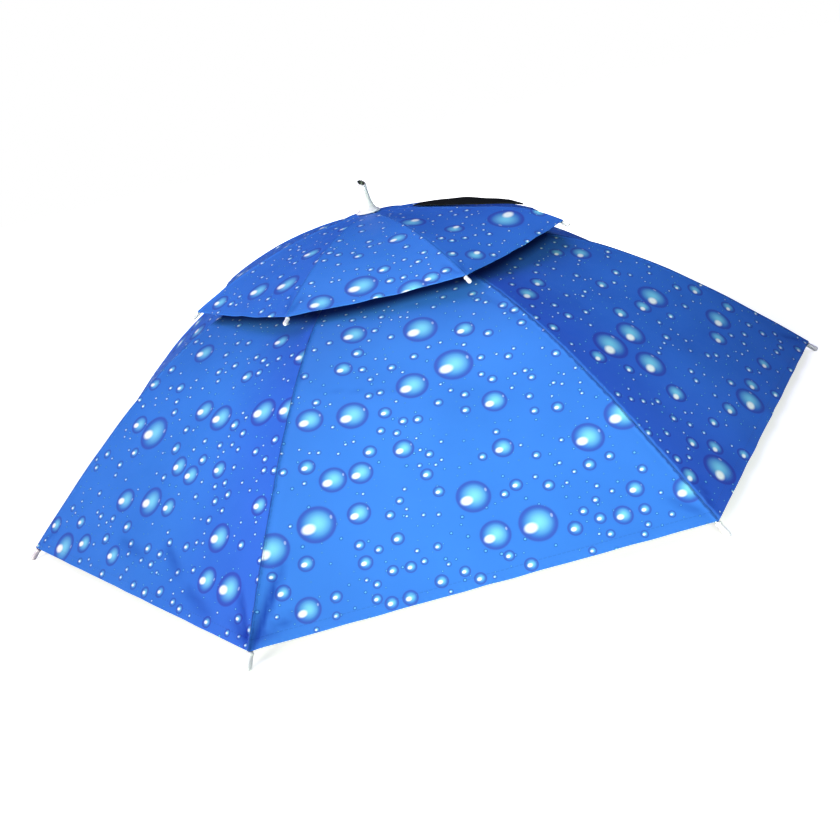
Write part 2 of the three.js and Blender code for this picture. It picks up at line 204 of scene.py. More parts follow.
# the directions of a spoke: outwards at its turn, up, and sideways
def spoke(turn):
    out = np.array([math.cos(turn), math.sin(turn), 0.0])
    return out, np.array([0.0, 0.0, 1.0]), np.array([-math.sin(turn), math.cos(turn), 0.0])


# faces of a grid of rows and columns, closed round either way where asked
def gridFaces(rows, columns, closeRows, closeColumns):
    j = np.arange(rows if closeRows else rows - 1)
    i = np.arange(columns if closeColumns else columns - 1)
    j, i = np.meshgrid(j, i, indexing="ij")
    nextJ, nextI = (j + 1) % rows, (i + 1) % columns
    faces = np.stack([j * columns + i, nextJ * columns + i,
                      nextJ * columns + nextI, j * columns + nextI], -1)
    return faces.reshape(-1, 4)


# merges doubles, so that poles close, and turns faces outwards
def closeUp(piece):
    shell = bmesh.new()
    shell.from_mesh(piece.data)
    bmesh.ops.remove_doubles(shell, verts=shell.verts, dist=1e-6)
    bmesh.ops.recalc_face_normals(shell, faces=shell.faces)
    shell.to_mesh(piece.data)
    shell.free()
    return piece


# a profile of (radius, height) rows with each corner cut to a short curve: two line ends and the
# corner blend by the squares of a running share
def roundProfile(rows, cut, steps=4):
    rows = np.array(rows, float)
    points = [rows[:1]]
    for before, corner, after in zip(rows[:-2], rows[1:-1], rows[2:]):
        a = before - corner
        b = after - corner
        sizeA, sizeB = np.linalg.norm(a), np.linalg.norm(b)
        start = corner + a * min(cut / sizeA, 0.45)
        end = corner + b * min(cut / sizeB, 0.45)
        t = np.linspace(0, 1, steps + 1)[:, None]
        points.append((1 - t) ** 2 * start + 2 * t * (1 - t) * corner + t ** 2 * end)
    points.append(rows[-1:])
    return np.concatenate(points)


# a profile turned about the Z axis, as rows of places
def turnedPlaces(profile, sides):
    turn = np.linspace(0, 2 * math.pi, sides, endpoint=False)
    radius, height = profile[:, 0][:, None], profile[:, 1][:, None]
    return np.stack([radius * np.cos(turn), radius * np.sin(turn), height + 0 * turn], -1)


# the running length along rows of places, closed round to the first where asked
def runLength(places, closed=False):
    steps = np.diff(places, axis=0, append=places[:1]) if closed else np.diff(places, axis=0)
    return np.concatenate([[0], np.cumsum(np.linalg.norm(steps, axis=1))])


# the four corners of each face in a map, from its low and high values both ways
def cornerMap(u0, u1, v0, v1):
    corners = [np.stack([u0, v0], -1), np.stack([u0, v1], -1),
               np.stack([u1, v1], -1), np.stack([u1, v0], -1)]
    return np.stack(corners, 2).reshape(-1, 2)


# its map: arc length at the widest row, and profile length
def turnedMap(profile, sides, closed=False):
    length = runLength(profile, True)
    rows = len(profile) if closed else len(profile) - 1
    j, i = np.meshgrid(np.arange(rows), np.arange(sides), indexing="ij")
    reach = max(profile[:, 0].max(), 1e-6)
    u0, u1 = i * 2 * math.pi * reach / sides, (i + 1) * 2 * math.pi * reach / sides
    return cornerMap(u0, u1, length[j], length[j + 1])


# a section carried along a path: each path point carries the section in its side and up directions
def sweptPlaces(path, side, up, section, scale=None):
    scale = np.ones(len(path)) if scale is None else scale
    across = section[:, 0][None, :, None] * side[:, None, :]
    high = section[:, 1][None, :, None] * up[:, None, :]
    return path[:, None, :] + scale[:, None, None] * (across + high)


# its map: the length round the section, and the length along the path
def sweptMap(path, section):
    length, girth = runLength(path), runLength(section, True)
    j, i = np.meshgrid(np.arange(len(path) - 1), np.arange(len(section)), indexing="ij")
    return cornerMap(girth[i], girth[i + 1], length[j], length[j + 1])


# a bar's section: a rectangle of half width and half thickness with each corner a quarter circle
def roundBar(half, thick, cut, steps=3):
    corners = [(half, thick), (-half, thick), (-half, -thick), (half, -thick)]
    points = []
    for k, (x, y) in enumerate(corners):
        start = k * math.pi / 2
        turn = np.linspace(start, start + math.pi / 2, steps + 1)
        points.append(np.stack([x - math.copysign(cut, x) + cut * np.cos(turn),
                                y - math.copysign(cut, y) + cut * np.sin(turn)], -1))
    return np.concatenate(points)


# a new node with its settings
def addNode(tree, kind, **settings):
    made = tree.nodes.new(kind)
    for key, value in settings.items():
        setattr(made, key, value)
    return made


# links a socket to another node's, or sets its plain value
def feed(tree, socket, value):
    if isinstance(value, bpy.types.NodeSocket):
        tree.links.new(value, socket)
    elif value is not None:
        socket.default_value = value


# a sum on values: a Math node of the named operation
def calc(tree, operation, first, second=None, third=None):
    made = addNode(tree, "ShaderNodeMath", operation=operation)
    for socket, value in zip(made.inputs, (first, second, third)):
        feed(tree, socket, value)
    return made.outputs[0]


def plus(tree, first, second):
    return calc(tree, "ADD", first, second)


def minus(tree, first, second):
    return calc(tree, "SUBTRACT", first, second)


def times(tree, first, second):
    return calc(tree, "MULTIPLY", first, second)


def over(tree, first, second):
    return calc(tree, "DIVIDE", first, second)


# length of a flat vector: the root of the sum of its squares
def flatLength(tree, x, y):
    return calc(tree, "SQRT", plus(tree, times(tree, x, x), times(tree, y, y)))


def vectorCalc(tree, operation, first, second=None, scale=None, output=0):
    made = addNode(tree, "ShaderNodeVectorMath", operation=operation)
    feed(tree, made.inputs[0], first)
    feed(tree, made.inputs[1], second)
    if scale is not None:
        feed(tree, made.inputs["Scale"], scale)
    return made.outputs[output]


# a smooth step from toLow, where the value is low, to toHigh, where it is high
def mapRange(tree, value, low, high, toLow=0.0, toHigh=1.0):
    made = addNode(tree, "ShaderNodeMapRange", interpolation_type="SMOOTHSTEP")
    for socket, given in zip(made.inputs, (value, low, high, toLow, toHigh)):
        feed(tree, socket, given)
    return made.outputs[0]


def mixColor(tree, share, first, second, blend="MIX"):
    made = addNode(tree, "ShaderNodeMix", data_type="RGBA", blend_type=blend)
    feed(tree, made.inputs[0], share)
    feed(tree, made.inputs[6], first)
    feed(tree, made.inputs[7], second)
    return made.outputs[2]


def joinXyz(tree, x, y, z=0.0):
    made = addNode(tree, "ShaderNodeCombineXYZ")
    for socket, value in zip(made.inputs, (x, y, z)):
        feed(tree, socket, value)
    return made.outputs[0]


def splitXyz(tree, vector):
    made = addNode(tree, "ShaderNodeSeparateXYZ")
    feed(tree, made.inputs[0], vector)
    return made.outputs


def noise(tree, vector, scale, detail=3.0, roughness=0.55):
    made = addNode(tree, "ShaderNodeTexNoise")
    labels = ("Vector", "Scale", "Detail", "Roughness")
    for label, value in zip(labels, (vector, scale, detail, roughness)):
        feed(tree, made.inputs[label], value)
    return made.outputs[0]


# a face corner attribute's outputs
def attribute(tree, name):
    return addNode(tree, "ShaderNodeAttribute", attribute_name=name).outputs


def surfaceMap(tree):
    return addNode(tree, "ShaderNodeUVMap", uv_map="surface").outputs[0]


def bump(tree, height, strength, distance, normal=None):
    made = addNode(tree, "ShaderNodeBump")
    made.inputs["Strength"].default_value = strength
    made.inputs["Distance"].default_value = distance
    feed(tree, made.inputs["Height"], height)
    if normal is not None:
        tree.links.new(normal, made.inputs["Normal"])
    return made.outputs[0]


# a shader group with named inputs and outputs, and those of its inside
def newGroup(name, inputs, outputs):
    group = bpy.data.node_groups.new(name, "ShaderNodeTree")
    for label, kind, value in inputs:
        socket = group.interface.new_socket(name=label, in_out="INPUT", socket_type=kind)
        if value is not None:
            socket.default_value = value
    for label, kind in outputs:
        group.interface.new_socket(name=label, in_out="OUTPUT", socket_type=kind)
    return group, addNode(group, "NodeGroupInput").outputs, addNode(group, "NodeGroupOutput").inputs


# a group placed in a material with its own values
def useGroup(tree, group, **values):
    made = addNode(tree, "ShaderNodeGroup", node_tree=group)
    for label, value in values.items():
        feed(tree, made.inputs[label], value)
    return made.outputs


def newMaterial(name, specular=0.5):
    material = bpy.data.materials.new(name)
    material.use_nodes = True
    shader = material.node_tree.nodes["Principled BSDF"]
    shader.inputs["Specular IOR Level"].default_value = specular
    return material, material.node_tree, shader


dropLook = {
    "edge": (0.93, 1.05), "glowPlace": (0.06, 0.03), "rimEnd": 0.94, "rimShare": 0.9,
    "shade": 0.3, "shadeRing": (1.05, 1.6), "shadeSide": (-1.2, 0.2), "shine": (0.5, 1.25),
    "glint": 0.28, "glintPlace": (0.76, 0.22), "glintSize": (0.07, 0.12), "glintEdge": (0.2, 1.4),
    "lean": math.radians(6),
    # a speck's value, and what a large drop adds: the highlight sits lower left on a large drop and
    # fills most of a small one
    "bySize": {"glowReach": (0.78, 0.14), "rimStart": (0.58, 0.04), "ovalX": (-0.18, -0.24),
               "ovalY": (-0.06, -0.1), "ovalWide": (0.38, -0.02), "ovalHigh": (0.3, -0.02)},
}


# One printed drop, in units of its radius: a violet rim, a body that lightens to a glow, a white
# oval highlight and a small glint. Z of Local is the size, from 0 for a speck to 1 for a large drop.
def makeWaterDrop(look):
    group, given, result = newGroup("waterDrop", [
        ("Local", "NodeSocketVector", (9, 9, 0)), ("Cloth", "NodeSocketColor", (0, 0, 1, 1)),
        ("Rim", "NodeSocketColor", (0, 0, 0.5, 1)), ("Body", "NodeSocketColor", (0, 0.2, 0.8, 1)),
        ("Glow", "NodeSocketColor", (0.3, 0.7, 1, 1)), ("Highlight", "NodeSocketColor", (1, 1, 1, 1)),
    ], [("Colour", "NodeSocketColor")])
    x, y, size = splitXyz(group, given["Local"])
    sized = {name: calc(group, "MULTIPLY_ADD", size, more, base)
             for name, (base, more) in look["bySize"].items()}
    reach = flatLength(group, x, y)
    inside = mapRange(group, reach, *look["edge"], 1.0, 0.0)
    glowX, glowY = (minus(group, value, place) for value, place in zip((x, y), look["glowPlace"]))
    glow = mapRange(group, flatLength(group, glowX, glowY), 0.0, sized["glowReach"], 1.0, 0.0)
    colour = mixColor(group, glow, given["Body"], given["Glow"])
    rim = mapRange(group, reach, sized["rimStart"], look["rimEnd"], 0.0, look["rimShare"])
    colour = mixColor(group, rim, colour, given["Rim"])
    dx, dy = minus(group, x, sized["ovalX"]), minus(group, y, sized["ovalY"])
    cos, sin = math.cos(look["lean"]), math.sin(look["lean"])
    ovalX = over(group, plus(group, times(group, dx, cos), times(group, dy, sin)), sized["ovalWide"])
    ovalY = over(group, minus(group, times(group, dy, cos), times(group, dx, sin)), sized["ovalHigh"])
    oval = flatLength(group, ovalX, ovalY)
    shade = mapRange(group, oval, *look["shadeRing"], look["shade"], 0.0)
    left = mapRange(group, plus(group, ovalX, ovalY), *look["shadeSide"], 1.0, 0.0)
    colour = mixColor(group, times(group, shade, left), colour, given["Rim"])
    colour = mixColor(group, mapRange(group, oval, *look["shine"], 1.0, 0.0), colour, given["Highlight"])
    glintX, glintY = (over(group, minus(group, value, place), wide)
                      for value, place, wide in zip((x, y), look["glintPlace"], look["glintSize"]))
    glint = plus(group, times(group, glintX, glintX), times(group, glintY, glintY))
    glint = times(group, mapRange(group, glint, *look["glintEdge"], look["glint"], 0.0), size)
    colour = mixColor(group, glint, colour, given["Highlight"])
    feed(group, result["Colour"], mixColor(group, inside, given["Cloth"], colour))
    return group


# Plain weave: threads cross as the product of two sines of the surface map, over a thread's pitch
def makeWeave():
    group, given, result = newGroup("plainWeave", [
        ("Surface", "NodeSocketVector", (0, 0, 0)), ("Pitch", "NodeSocketFloat", 0.0004),
    ], [("Height", "NodeSocketFloat"), ("Shade", "NodeSocketFloat")])
    x, y, _ = splitXyz(group, given["Surface"])
    turnX = over(group, times(group, x, 2 * math.pi), given["Pitch"])
    turnY = over(group, times(group, y, 2 * math.pi), given["Pitch"])
    cross = times(group, calc(group, "SINE", turnX), calc(group, "SINE", turnY))
    fuzz = noise(group, given["Surface"], 900.0, 2.0)
    height = plus(group, times(group, cross, 0.5), times(group, fuzz, 0.5))
    feed(group, result["Height"], height)
    feed(group, result["Shade"], mapRange(group, cross, -1.0, 1.0, 0.0, 1.0))
    return group


# A line of stitches: dashes along one direction of the surface, at one distance from an edge
def makeStitches():
    group, given, result = newGroup("stitchLine", [
        ("Distance", "NodeSocketFloat", 0.0), ("Along", "NodeSocketFloat", 0.0),
        ("Line", "NodeSocketFloat", 0.005), ("Length", "NodeSocketFloat", 0.003),
        ("Width", "NodeSocketFloat", 0.0005),
    ], [("Mask", "NodeSocketFloat"), ("Groove", "NodeSocketFloat")])
    off = calc(group, "ABSOLUTE", minus(group, given["Distance"], given["Line"]))
    line = mapRange(group, over(group, off, given["Width"]), 0.4, 1.0, 1.0, 0.0)
    dash = calc(group, "FRACT", over(group, given["Along"], given["Length"]))
    dash = mapRange(group, calc(group, "ABSOLUTE", minus(group, dash, 0.5)), 0.3, 0.4, 1.0, 0.0)
    feed(group, result["Mask"], times(group, line, dash))
    feed(group, result["Groove"], mapRange(group, over(group, off, given["Width"]), 0.4, 2.0, 1.0, 0.0))
    return group


# Fine scuffs and dust on moulded plastic and metal, from two noises
def makeWear():
    group, given, result = newGroup("handling", [
        ("Surface", "NodeSocketVector", (0, 0, 0)), ("Scale", "NodeSocketFloat", 60.0),
    ], [("Marks", "NodeSocketFloat"), ("Grain", "NodeSocketFloat")])
    marks = noise(group, given["Surface"], given["Scale"], 5.0, 0.5)
    feed(group, result["Marks"], mapRange(group, marks, 0.42, 0.7))
    feed(group, result["Grain"], noise(group, given["Surface"], 1400.0, 2.0))
    return group


waterDrop = makeWaterDrop(dropLook)
plainWeave = makeWeave()
stitchLine = makeStitches()
handling = makeWear()
print("stage: the shader groups are made")

printLook = {
    "cloth": (0.042, 0.178, 0.68, 1), "clothDeep": (0.036, 0.158, 0.62, 1),
    "rim": (0.042, 0.074, 0.44, 1), "body": (0.034, 0.145, 0.56, 1),
    "glow": (0.2, 0.56, 0.82, 1), "highlight": (0.93, 0.87, 0.93, 1),
    "speckRim": (0.012, 0.06, 0.34, 1), "speckGlow": (0.17, 0.5, 0.8, 1),
    "speckCell": 0.0085, "speckSize": (0.1, 0.065), "speckShare": 0.62, "speckScatter": 0.9,
    "panelShadeTint": (0.5, 0.0, 0.75, 1), "creaseShadeTint": (0.05, 0.12, 0.45, 1), "stitch": (0.006, 0.03, 0.2, 1),
    "piping": 0.0036, "pipingHighlight": (0.08, 0.26, 1.0, 1), "pipingShine": 1.8, "pipingClear": 0.95,
    "crinkle": (-0.0003, 0.0004), "seamShade": 0.12, "seamLine": 0.0009, "seamStitch": 0.0044,
    "ditchShade": 0.75, "ditchLine": 0.0005, "ditchEdge": (0.0003, 0.0009),
    "hemShade": 0.15, "hemGroove": 0.3, "hemStitch": 0.003, "stitchWidth": 0.0005,
    # where the painted shade under the upper canopy ends on the cloth, as shares of the rib past the vent
    "shadeLine": None, "underShade": (0.001, 0.003, 0.07, 1), "shade": 0.97, "softShade": 0.16,
    "softReach": 0.2,
    "weavePitch": 0.00042, "weaveShade": 0.08, "roughness": (0.45, 0.56), "specular": 0.14,
    # strength and distance
    "creaseBump": (0.12, 0.004), "grooveBump": (0.5, 0.0004), "threadBump": (0.5, 0.0003),
    "weaveBump": (0.2, 0.00012),
}


# Printed cloth: two close blues by a soft noise, specks in random cells and three layers of drops from
# the face corners, the cloth and the drops' rims and bodies darkened by painted panel shade from the
# corners' "tone"; then painted shade in the seam grooves, the piping's painted highlight, the ditch and
# stitches, the hem's stitches, painted shade in the creases, and the painted shade under the upper canopy
def makePrintedCloth(name, look, hemLine):
    material, tree, shader = newMaterial(name, look["specular"])
    surface = surfaceMap(tree)
    offEdge, offHem, offInner = splitXyz(tree, attribute(tree, "edges")["Vector"])
    crinkle = mapRange(tree, noise(tree, surface, 160.0, 3.0), 0.3, 0.7, *look["crinkle"])
    offSeam = plus(tree, offEdge, crinkle)  # above nought on the side the seam is folded to
    # painted highlight: a light strip on the seam's folded side, stronger where the panel's painted shade
    # is deeper, with that painted shade cleared from it
    piping = times(tree, mapRange(tree, offSeam, 0.0, 0.0003),
                   mapRange(tree, offSeam, look["piping"] * 0.75, look["piping"] * 1.25, 1.0, 0.0))
    # painted shade: the corners' "tone" darkens each panel's cloth and its drops' rims and bodies
    turned = attribute(tree, "tone")["Fac"]
    lit = times(tree, piping, times(tree, turned, look["pipingShine"]))
    turned = times(tree, turned, calc(tree, "MULTIPLY_ADD", piping, -look["pipingClear"], 1.0))
    tone = mapRange(tree, noise(tree, surface, 9.0, 3.0), 0.3, 0.7)
    colour, rim, body = (mixColor(tree, turned, value, look["panelShadeTint"], "MULTIPLY") for value in (
        mixColor(tree, tone, look["clothDeep"], look["cloth"]), look["rim"], look["body"]))
    cells = vectorCalc(tree, "SCALE", surface, scale=1 / look["speckCell"])
    voronoi = addNode(tree, "ShaderNodeTexVoronoi", voronoi_dimensions="2D", feature="F1")
    for label, value in (("Vector", cells), ("Scale", 1.0), ("Randomness", look["speckScatter"])):
        feed(tree, voronoi.inputs[label], value)
    red, green, _ = splitXyz(tree, voronoi.outputs["Color"])
    speckSize = calc(tree, "MULTIPLY_ADD", times(tree, red, red), *look["speckSize"])
    absent = times(tree, calc(tree, "GREATER_THAN", green, look["speckShare"]), 50.0)
    shrink = over(tree, plus(tree, absent, 1.0), speckSize)
    away = vectorCalc(tree, "SUBTRACT", cells, voronoi.outputs["Position"])
    awayX, awayY, _ = splitXyz(tree, vectorCalc(tree, "SCALE", away, scale=shrink))
    colour = useGroup(tree, waterDrop, Local=joinXyz(tree, awayX, awayY), Cloth=colour,
                      Rim=look["speckRim"], Body=look["body"], Glow=look["speckGlow"],
                      Highlight=look["speckGlow"])["Colour"]
    for layer in ("dropC", "dropB", "dropA"):
        colour = useGroup(tree, waterDrop, Local=attribute(tree, layer)["Vector"], Cloth=colour, Rim=rim,
                          Body=body, Glow=look["glow"], Highlight=look["highlight"])["Colour"]
    along = splitXyz(tree, surface)
    seam = useGroup(tree, stitchLine, Distance=calc(tree, "ABSOLUTE", offSeam), Along=along[1],
                    Line=look["seamLine"], Length=look["seamStitch"], Width=look["stitchWidth"])
    hem = useGroup(tree, stitchLine, Distance=offHem, Along=along[0],
                   Line=hemLine, Length=look["hemStitch"], Width=look["stitchWidth"])
    offDitch = calc(tree, "ABSOLUTE", plus(tree, offSeam, look["ditchLine"]))
    ditch = mapRange(tree, offDitch, *look["ditchEdge"], look["ditchShade"], 0.0)
    thread = calc(tree, "MAXIMUM", seam["Mask"], hem["Mask"])
    groove = calc(tree, "MAXIMUM", seam["Groove"], times(tree, hem["Groove"], look["hemGroove"]))
    weave = useGroup(tree, plainWeave, Surface=surface, Pitch=look["weavePitch"])
    # painted shade in the seam grooves first, then the threads, the piping's painted highlight, the ditch
    # and the weave
    for share, paint in (
            (times(tree, seam["Groove"], look["seamShade"]), look["stitch"]),
            (times(tree, seam["Mask"], look["seamShade"] * 1.4), look["stitch"]),
            (times(tree, hem["Mask"], look["hemShade"]), look["stitch"]),
            (lit, look["pipingHighlight"]), (ditch, look["stitch"]),
            (times(tree, weave["Shade"], look["weaveShade"]), look["clothDeep"])):
        colour = mixColor(tree, share, colour, paint)
    # painted shade: the cloth darkens in the creases by each corner's crease depth
    colour = mixColor(tree, attribute(tree, "creaseShade")["Fac"], colour, look["creaseShadeTint"], "MULTIPLY")
    # painted shade: the cloth darkens under the upper canopy's hem, with a weak wide fade beyond it
    if look["shadeLine"]:
        near, far = look["shadeLine"]
        soft = mapRange(tree, offInner, far, far + look["softReach"], look["softShade"], 0.0)
        underCanopyShade = calc(tree, "MAXIMUM", soft, mapRange(tree, offInner, near, far, look["shade"], 0.0))
        colour = mixColor(tree, underCanopyShade, colour, look["underShade"])
    feed(tree, shader.inputs["Base Color"], colour)
    normal = bump(tree, noise(tree, surface, 24.0, 4.0), *look["creaseBump"])
    normal = bump(tree, times(tree, groove, -1.0), *look["grooveBump"], normal)
    normal = bump(tree, thread, *look["threadBump"], normal)
    feed(tree, shader.inputs["Normal"], bump(tree, weave["Height"], *look["weaveBump"], normal))
    rough = mapRange(tree, noise(tree, surface, 40.0, 3.0), 0.3, 0.7, *look["roughness"])
    feed(tree, shader.inputs["Roughness"], rough)
    return material


coatingLook = {
    "light": (0.022, 0.022, 0.026, 1), "dark": (0.012, 0.012, 0.014, 1), "thread": (0.03, 0.03, 0.034, 1),
    "pitch": 0.0005, "threadShade": 0.3, "roughness": (0.42, 0.58), "specular": 0.4,
    "creaseBump": (0.12, 0.004), "weaveBump": (0.4, 0.0002),
}


# The black coating on the cloth's inside
def makeCoating(name, look):
    material, tree, shader = newMaterial(name, look["specular"])
    surface = surfaceMap(tree)
    tone = mapRange(tree, noise(tree, surface, 14.0, 4.0), 0.3, 0.7)
    weave = useGroup(tree, plainWeave, Surface=surface, Pitch=look["pitch"])
    colour = mixColor(tree, tone, look["dark"], look["light"])
    colour = mixColor(tree, times(tree, weave["Shade"], look["threadShade"]), colour, look["thread"])
    feed(tree, shader.inputs["Base Color"], colour)
    normal = bump(tree, noise(tree, surface, 24.0, 4.0), *look["creaseBump"])
    feed(tree, shader.inputs["Normal"], bump(tree, weave["Height"], *look["weaveBump"], normal))
    feed(tree, shader.inputs["Roughness"], mapRange(tree, tone, 0.0, 1.0, *look["roughness"]))
    return material


whiteLook = {"light": (0.84, 0.75, 0.85, 1), "dark": (0.77, 0.68, 0.78, 1), "roughness": (0.32, 0.48),
             "wear": 70.0, "grain": (0.05, 0.0002), "metallic": 0.0}
blackLook = {"light": (0.018, 0.018, 0.02, 1), "dark": (0.03, 0.03, 0.033, 1), "roughness": (0.42, 0.58),
             "wear": 70.0, "grain": (0.25, 0.0002), "metallic": 0.0}
steelLook = {"light": (0.6, 0.61, 0.63, 1), "dark": (0.4, 0.4, 0.41, 1), "roughness": (0.22, 0.4),
             "wear": 120.0, "grain": (0.08, 0.0001), "metallic": 1.0}


# Moulded plastic or drawn wire: two close tones, scuffs that dull it and a faint grain
def makeHard(name, look):
    material, tree, shader = newMaterial(name)
    place = addNode(tree, "ShaderNodeTexCoord").outputs["Object"]
    wear = useGroup(tree, handling, Surface=place, Scale=look["wear"])
    feed(tree, shader.inputs["Base Color"], mixColor(tree, wear["Marks"], look["light"], look["dark"]))
    feed(tree, shader.inputs["Roughness"], mapRange(tree, wear["Marks"], 0.0, 1.0, *look["roughness"]))
    feed(tree, shader.inputs["Normal"], bump(tree, wear["Grain"], *look["grain"]))
    shader.inputs["Metallic"].default_value = look["metallic"]
    return material


bandLook = {"light": (0.03, 0.03, 0.034, 1), "dark": (0.008, 0.008, 0.009, 1),
            "pitch": 0.0016, "bump": (0.6, 0.0003), "roughness": (0.62, 0.85), "specular": 0.12}
webbingLook = {"light": (0.009, 0.009, 0.011, 1), "dark": (0.003, 0.003, 0.004, 1),
               "pitch": 0.0014, "bump": (0.6, 0.0002), "roughness": (0.62, 0.85), "specular": 0.12}


# Woven band or strap: the sum of a sine along the length and a finer one across, on the map
def makeWebbing(name, look):
    material, tree, shader = newMaterial(name, look["specular"])
    surface = surfaceMap(tree)
    x, y, _ = splitXyz(tree, surface)
    ribs = calc(tree, "SINE", over(tree, times(tree, x, 2 * math.pi), look["pitch"]))
    threads = calc(tree, "SINE", over(tree, times(tree, y, 2 * math.pi), look["pitch"] * 0.5))
    height = plus(tree, ribs, times(tree, threads, 0.35))
    fuzz = noise(tree, surface, 700.0, 3.0)
    shade = mapRange(tree, plus(tree, height, fuzz), -1.0, 2.0)
    feed(tree, shader.inputs["Base Color"], mixColor(tree, shade, look["dark"], look["light"]))
    feed(tree, shader.inputs["Normal"], bump(tree, height, *look["bump"]))
    feed(tree, shader.inputs["Roughness"], mapRange(tree, fuzz, 0.3, 0.7, *look["roughness"]))
    return material


wideInk = makePrintedCloth("widePrintedCloth", dict(printLook, shadeLine=(0.18, 0.232)), 0.0065)
smallInk = makePrintedCloth("smallPrintedCloth", dict(printLook, seamShade=0.06, ditchShade=0.2), 0.005)
coating = makeCoating("blackCoating", coatingLook)
steel = makeHard("brightWire", steelLook)
whitePlastic = makeHard("whiteMoulded", whiteLook)
blackPlastic = makeHard("blackMoulded", blackLook)
bandWeave = makeWebbing("elasticBand", bandLook)
strapWeave = makeWebbing("strapWebbing", webbingLook)
print("stage: the materials are made")

# Drops of the print that the photograph shows, read off it: across, along, and size in mm
wideChart = {
    0: [(0.90, 0.94, 23), (0.14, 0.98, 27), (0.44, 0.86, 26), (0.85, 0.67, 25), (0.25, 0.74, 32),
        (0.81, 0.88, 22), (0.77, 0.51, 17), (0.99, 0.55, 18), (0.65, 0.60, 13), (0.99, 0.66, 23),
        (0.71, 0.70, 11), (0.20, 0.55, 22), (0.48, 0.68, 21), (0.61, 0.69, 24), (0.13, 0.73, 18),
        (0.23, 0.64, 11), (0.43, 0.76, 12), (0.06, 0.80, 9), (0.50, 0.79, 18), (0.58, 0.80, 17),
        (0.71, 0.78, 15), (0.61, 0.77, 10), (0.31, 0.87, 21), (0.54, 0.86, 16), (0.39, 0.91, 11),
        (0.32, 0.94, 10), (0.95, 0.82, 15), (0.23, 0.96, 17), (0.39, 0.96, 17), (0.03, 0.95, 16),
        (0.15, 0.93, 12), (0.53, 0.93, 9), (0.81, 0.94, 19), (0.65, 0.98, 9), (0.85, 0.99, 8),
        (0.59, 0.99, 9), (0.06, 0.60, 10), (0.03, 0.64, 14), (0.39, 0.55, 7.7), (0.71, 0.56, 8),
        (0.05, 0.83, 7.7), (0.74, 0.83, 7.9), (0.74, 0.86, 7.2), (0.91, 0.88, 7.8),
        (0.57, 0.95, 6.7), (0.61, 0.91, 6.9), (0.74, 0.99, 6.8), (0.95, 0.97, 7),
        (0.93, 0.75, 6.8), (0.67, 0.74, 6.9), (0.21, 0.785, 10.1)],
    1: [(0.65, 0.94, 25), (0.87, 0.84, 22), (0.53, 0.88, 23), (0.55, 0.94, 20), (0.13, 0.86, 26),
        (0.12, 0.97, 17), (0.62, 0.65, 29), (0.23, 0.70, 23), (0.55, 0.55, 27), (0.08, 0.69, 20),
        (0.23, 0.52, 21), (0.73, 0.58, 16), (0.25, 0.57, 10), (0.19, 0.60, 14), (0.45, 0.67, 24),
        (0.34, 0.71, 10), (0.38, 0.78, 15), (0.28, 0.77, 10), (0.09, 0.77, 12), (0.17, 0.80, 19),
        (0.25, 0.80, 17), (0.24, 0.86, 16), (0.02, 0.88, 24), (0.43, 0.83, 9), (0.45, 0.86, 8),
        (0.33, 0.91, 9), (0.11, 0.91, 11), (0.25, 0.93, 10), (0.06, 0.94, 11), (0.41, 0.98, 9),
        (0.30, 0.99, 9), (0.34, 0.99, 10), (0.69, 0.74, 18), (0.65, 0.82, 15), (0.83, 0.88, 9),
        (0.85, 0.78, 9), (0.89, 0.93, 12), (0.83, 0.96, 13), (0.72, 0.96, 10), (0.64, 0.88, 9),
        (0.60, 0.99, 9), (0.49, 0.99, 8), (0.99, 0.82, 24), (0.99, 0.95, 18), (0.27, 0.61, 6.9),
        (0.32, 0.74, 6.6), (0.29, 0.67, 6.7), (0.45, 0.80, 6.6), (0.31, 0.95, 7.5),
        (0.27, 0.98, 7), (0.88, 0.96, 8.2)],
    2: [(0.14, 0.97, 26), (0.23, 0.73, 31), (0.30, 0.80, 27), (0.48, 0.96, 26), (0.38, 0.74, 27),
        (0.27, 0.86, 18), (0.14, 0.92, 11), (0.20, 0.95, 14), (0.03, 0.94, 14), (0.38, 0.94, 14),
        (0.73, 0.50, 15), (0.82, 0.54, 21), (0.76, 0.63, 10), (0.30, 0.54, 15), (0.15, 0.55, 20),
        (0.60, 0.63, 13), (0.71, 0.72, 30), (0.60, 0.72, 17), (0.88, 0.74, 10), (0.93, 0.77, 16),
        (0.46, 0.70, 15), (0.65, 0.77, 9), (0.20, 0.64, 10), (0.06, 0.64, 11), (0.12, 0.73, 15),
        (0.19, 0.78, 10), (0.81, 0.84, 26), (0.69, 0.86, 18), (0.93, 0.84, 15), (0.88, 0.92, 9),
        (0.71, 0.95, 15), (0.56, 0.95, 15), (0.50, 0.92, 9), (0.28, 0.93, 10), (0.50, 0.79, 9),
        (0.26, 0.99, 11), (0.59, 0.99, 10), (0.91, 0.99, 11)],
}
smallChart = {
    0: [(0.74, 0.55, 21), (1.00, 0.63, 12), (0.78, 0.80, 27), (0.47, 0.84, 24), (0.15, 0.93, 19),
        (0.84, 1.00, 12), (0.89, 0.28, 14), (0.29, 0.93, 9)],
    1: [(0.42, 0.90, 28), (0.18, 0.96, 22), (0.58, 0.82, 12), (0.60, 0.91, 9), (0.51, 1.00, 12),
        (0.70, 1.01, 24), (0.39, 0.66, 10), (0.80, 0.58, 18), (0.83, 0.96, 15), (0.93, 0.94, 10),
        (0.50, 0.53, 8), (0.07, 0.57, 8)],
    2: [(0.78, 0.81, 35), (0.18, 0.45, 26), (0.38, 0.68, 19), (1.00, 0.89, 16), (0.14, 0.71, 9),
        (0.20, 0.92, 18), (0.06, 0.85, 11), (0.30, 0.97, 8)],
}

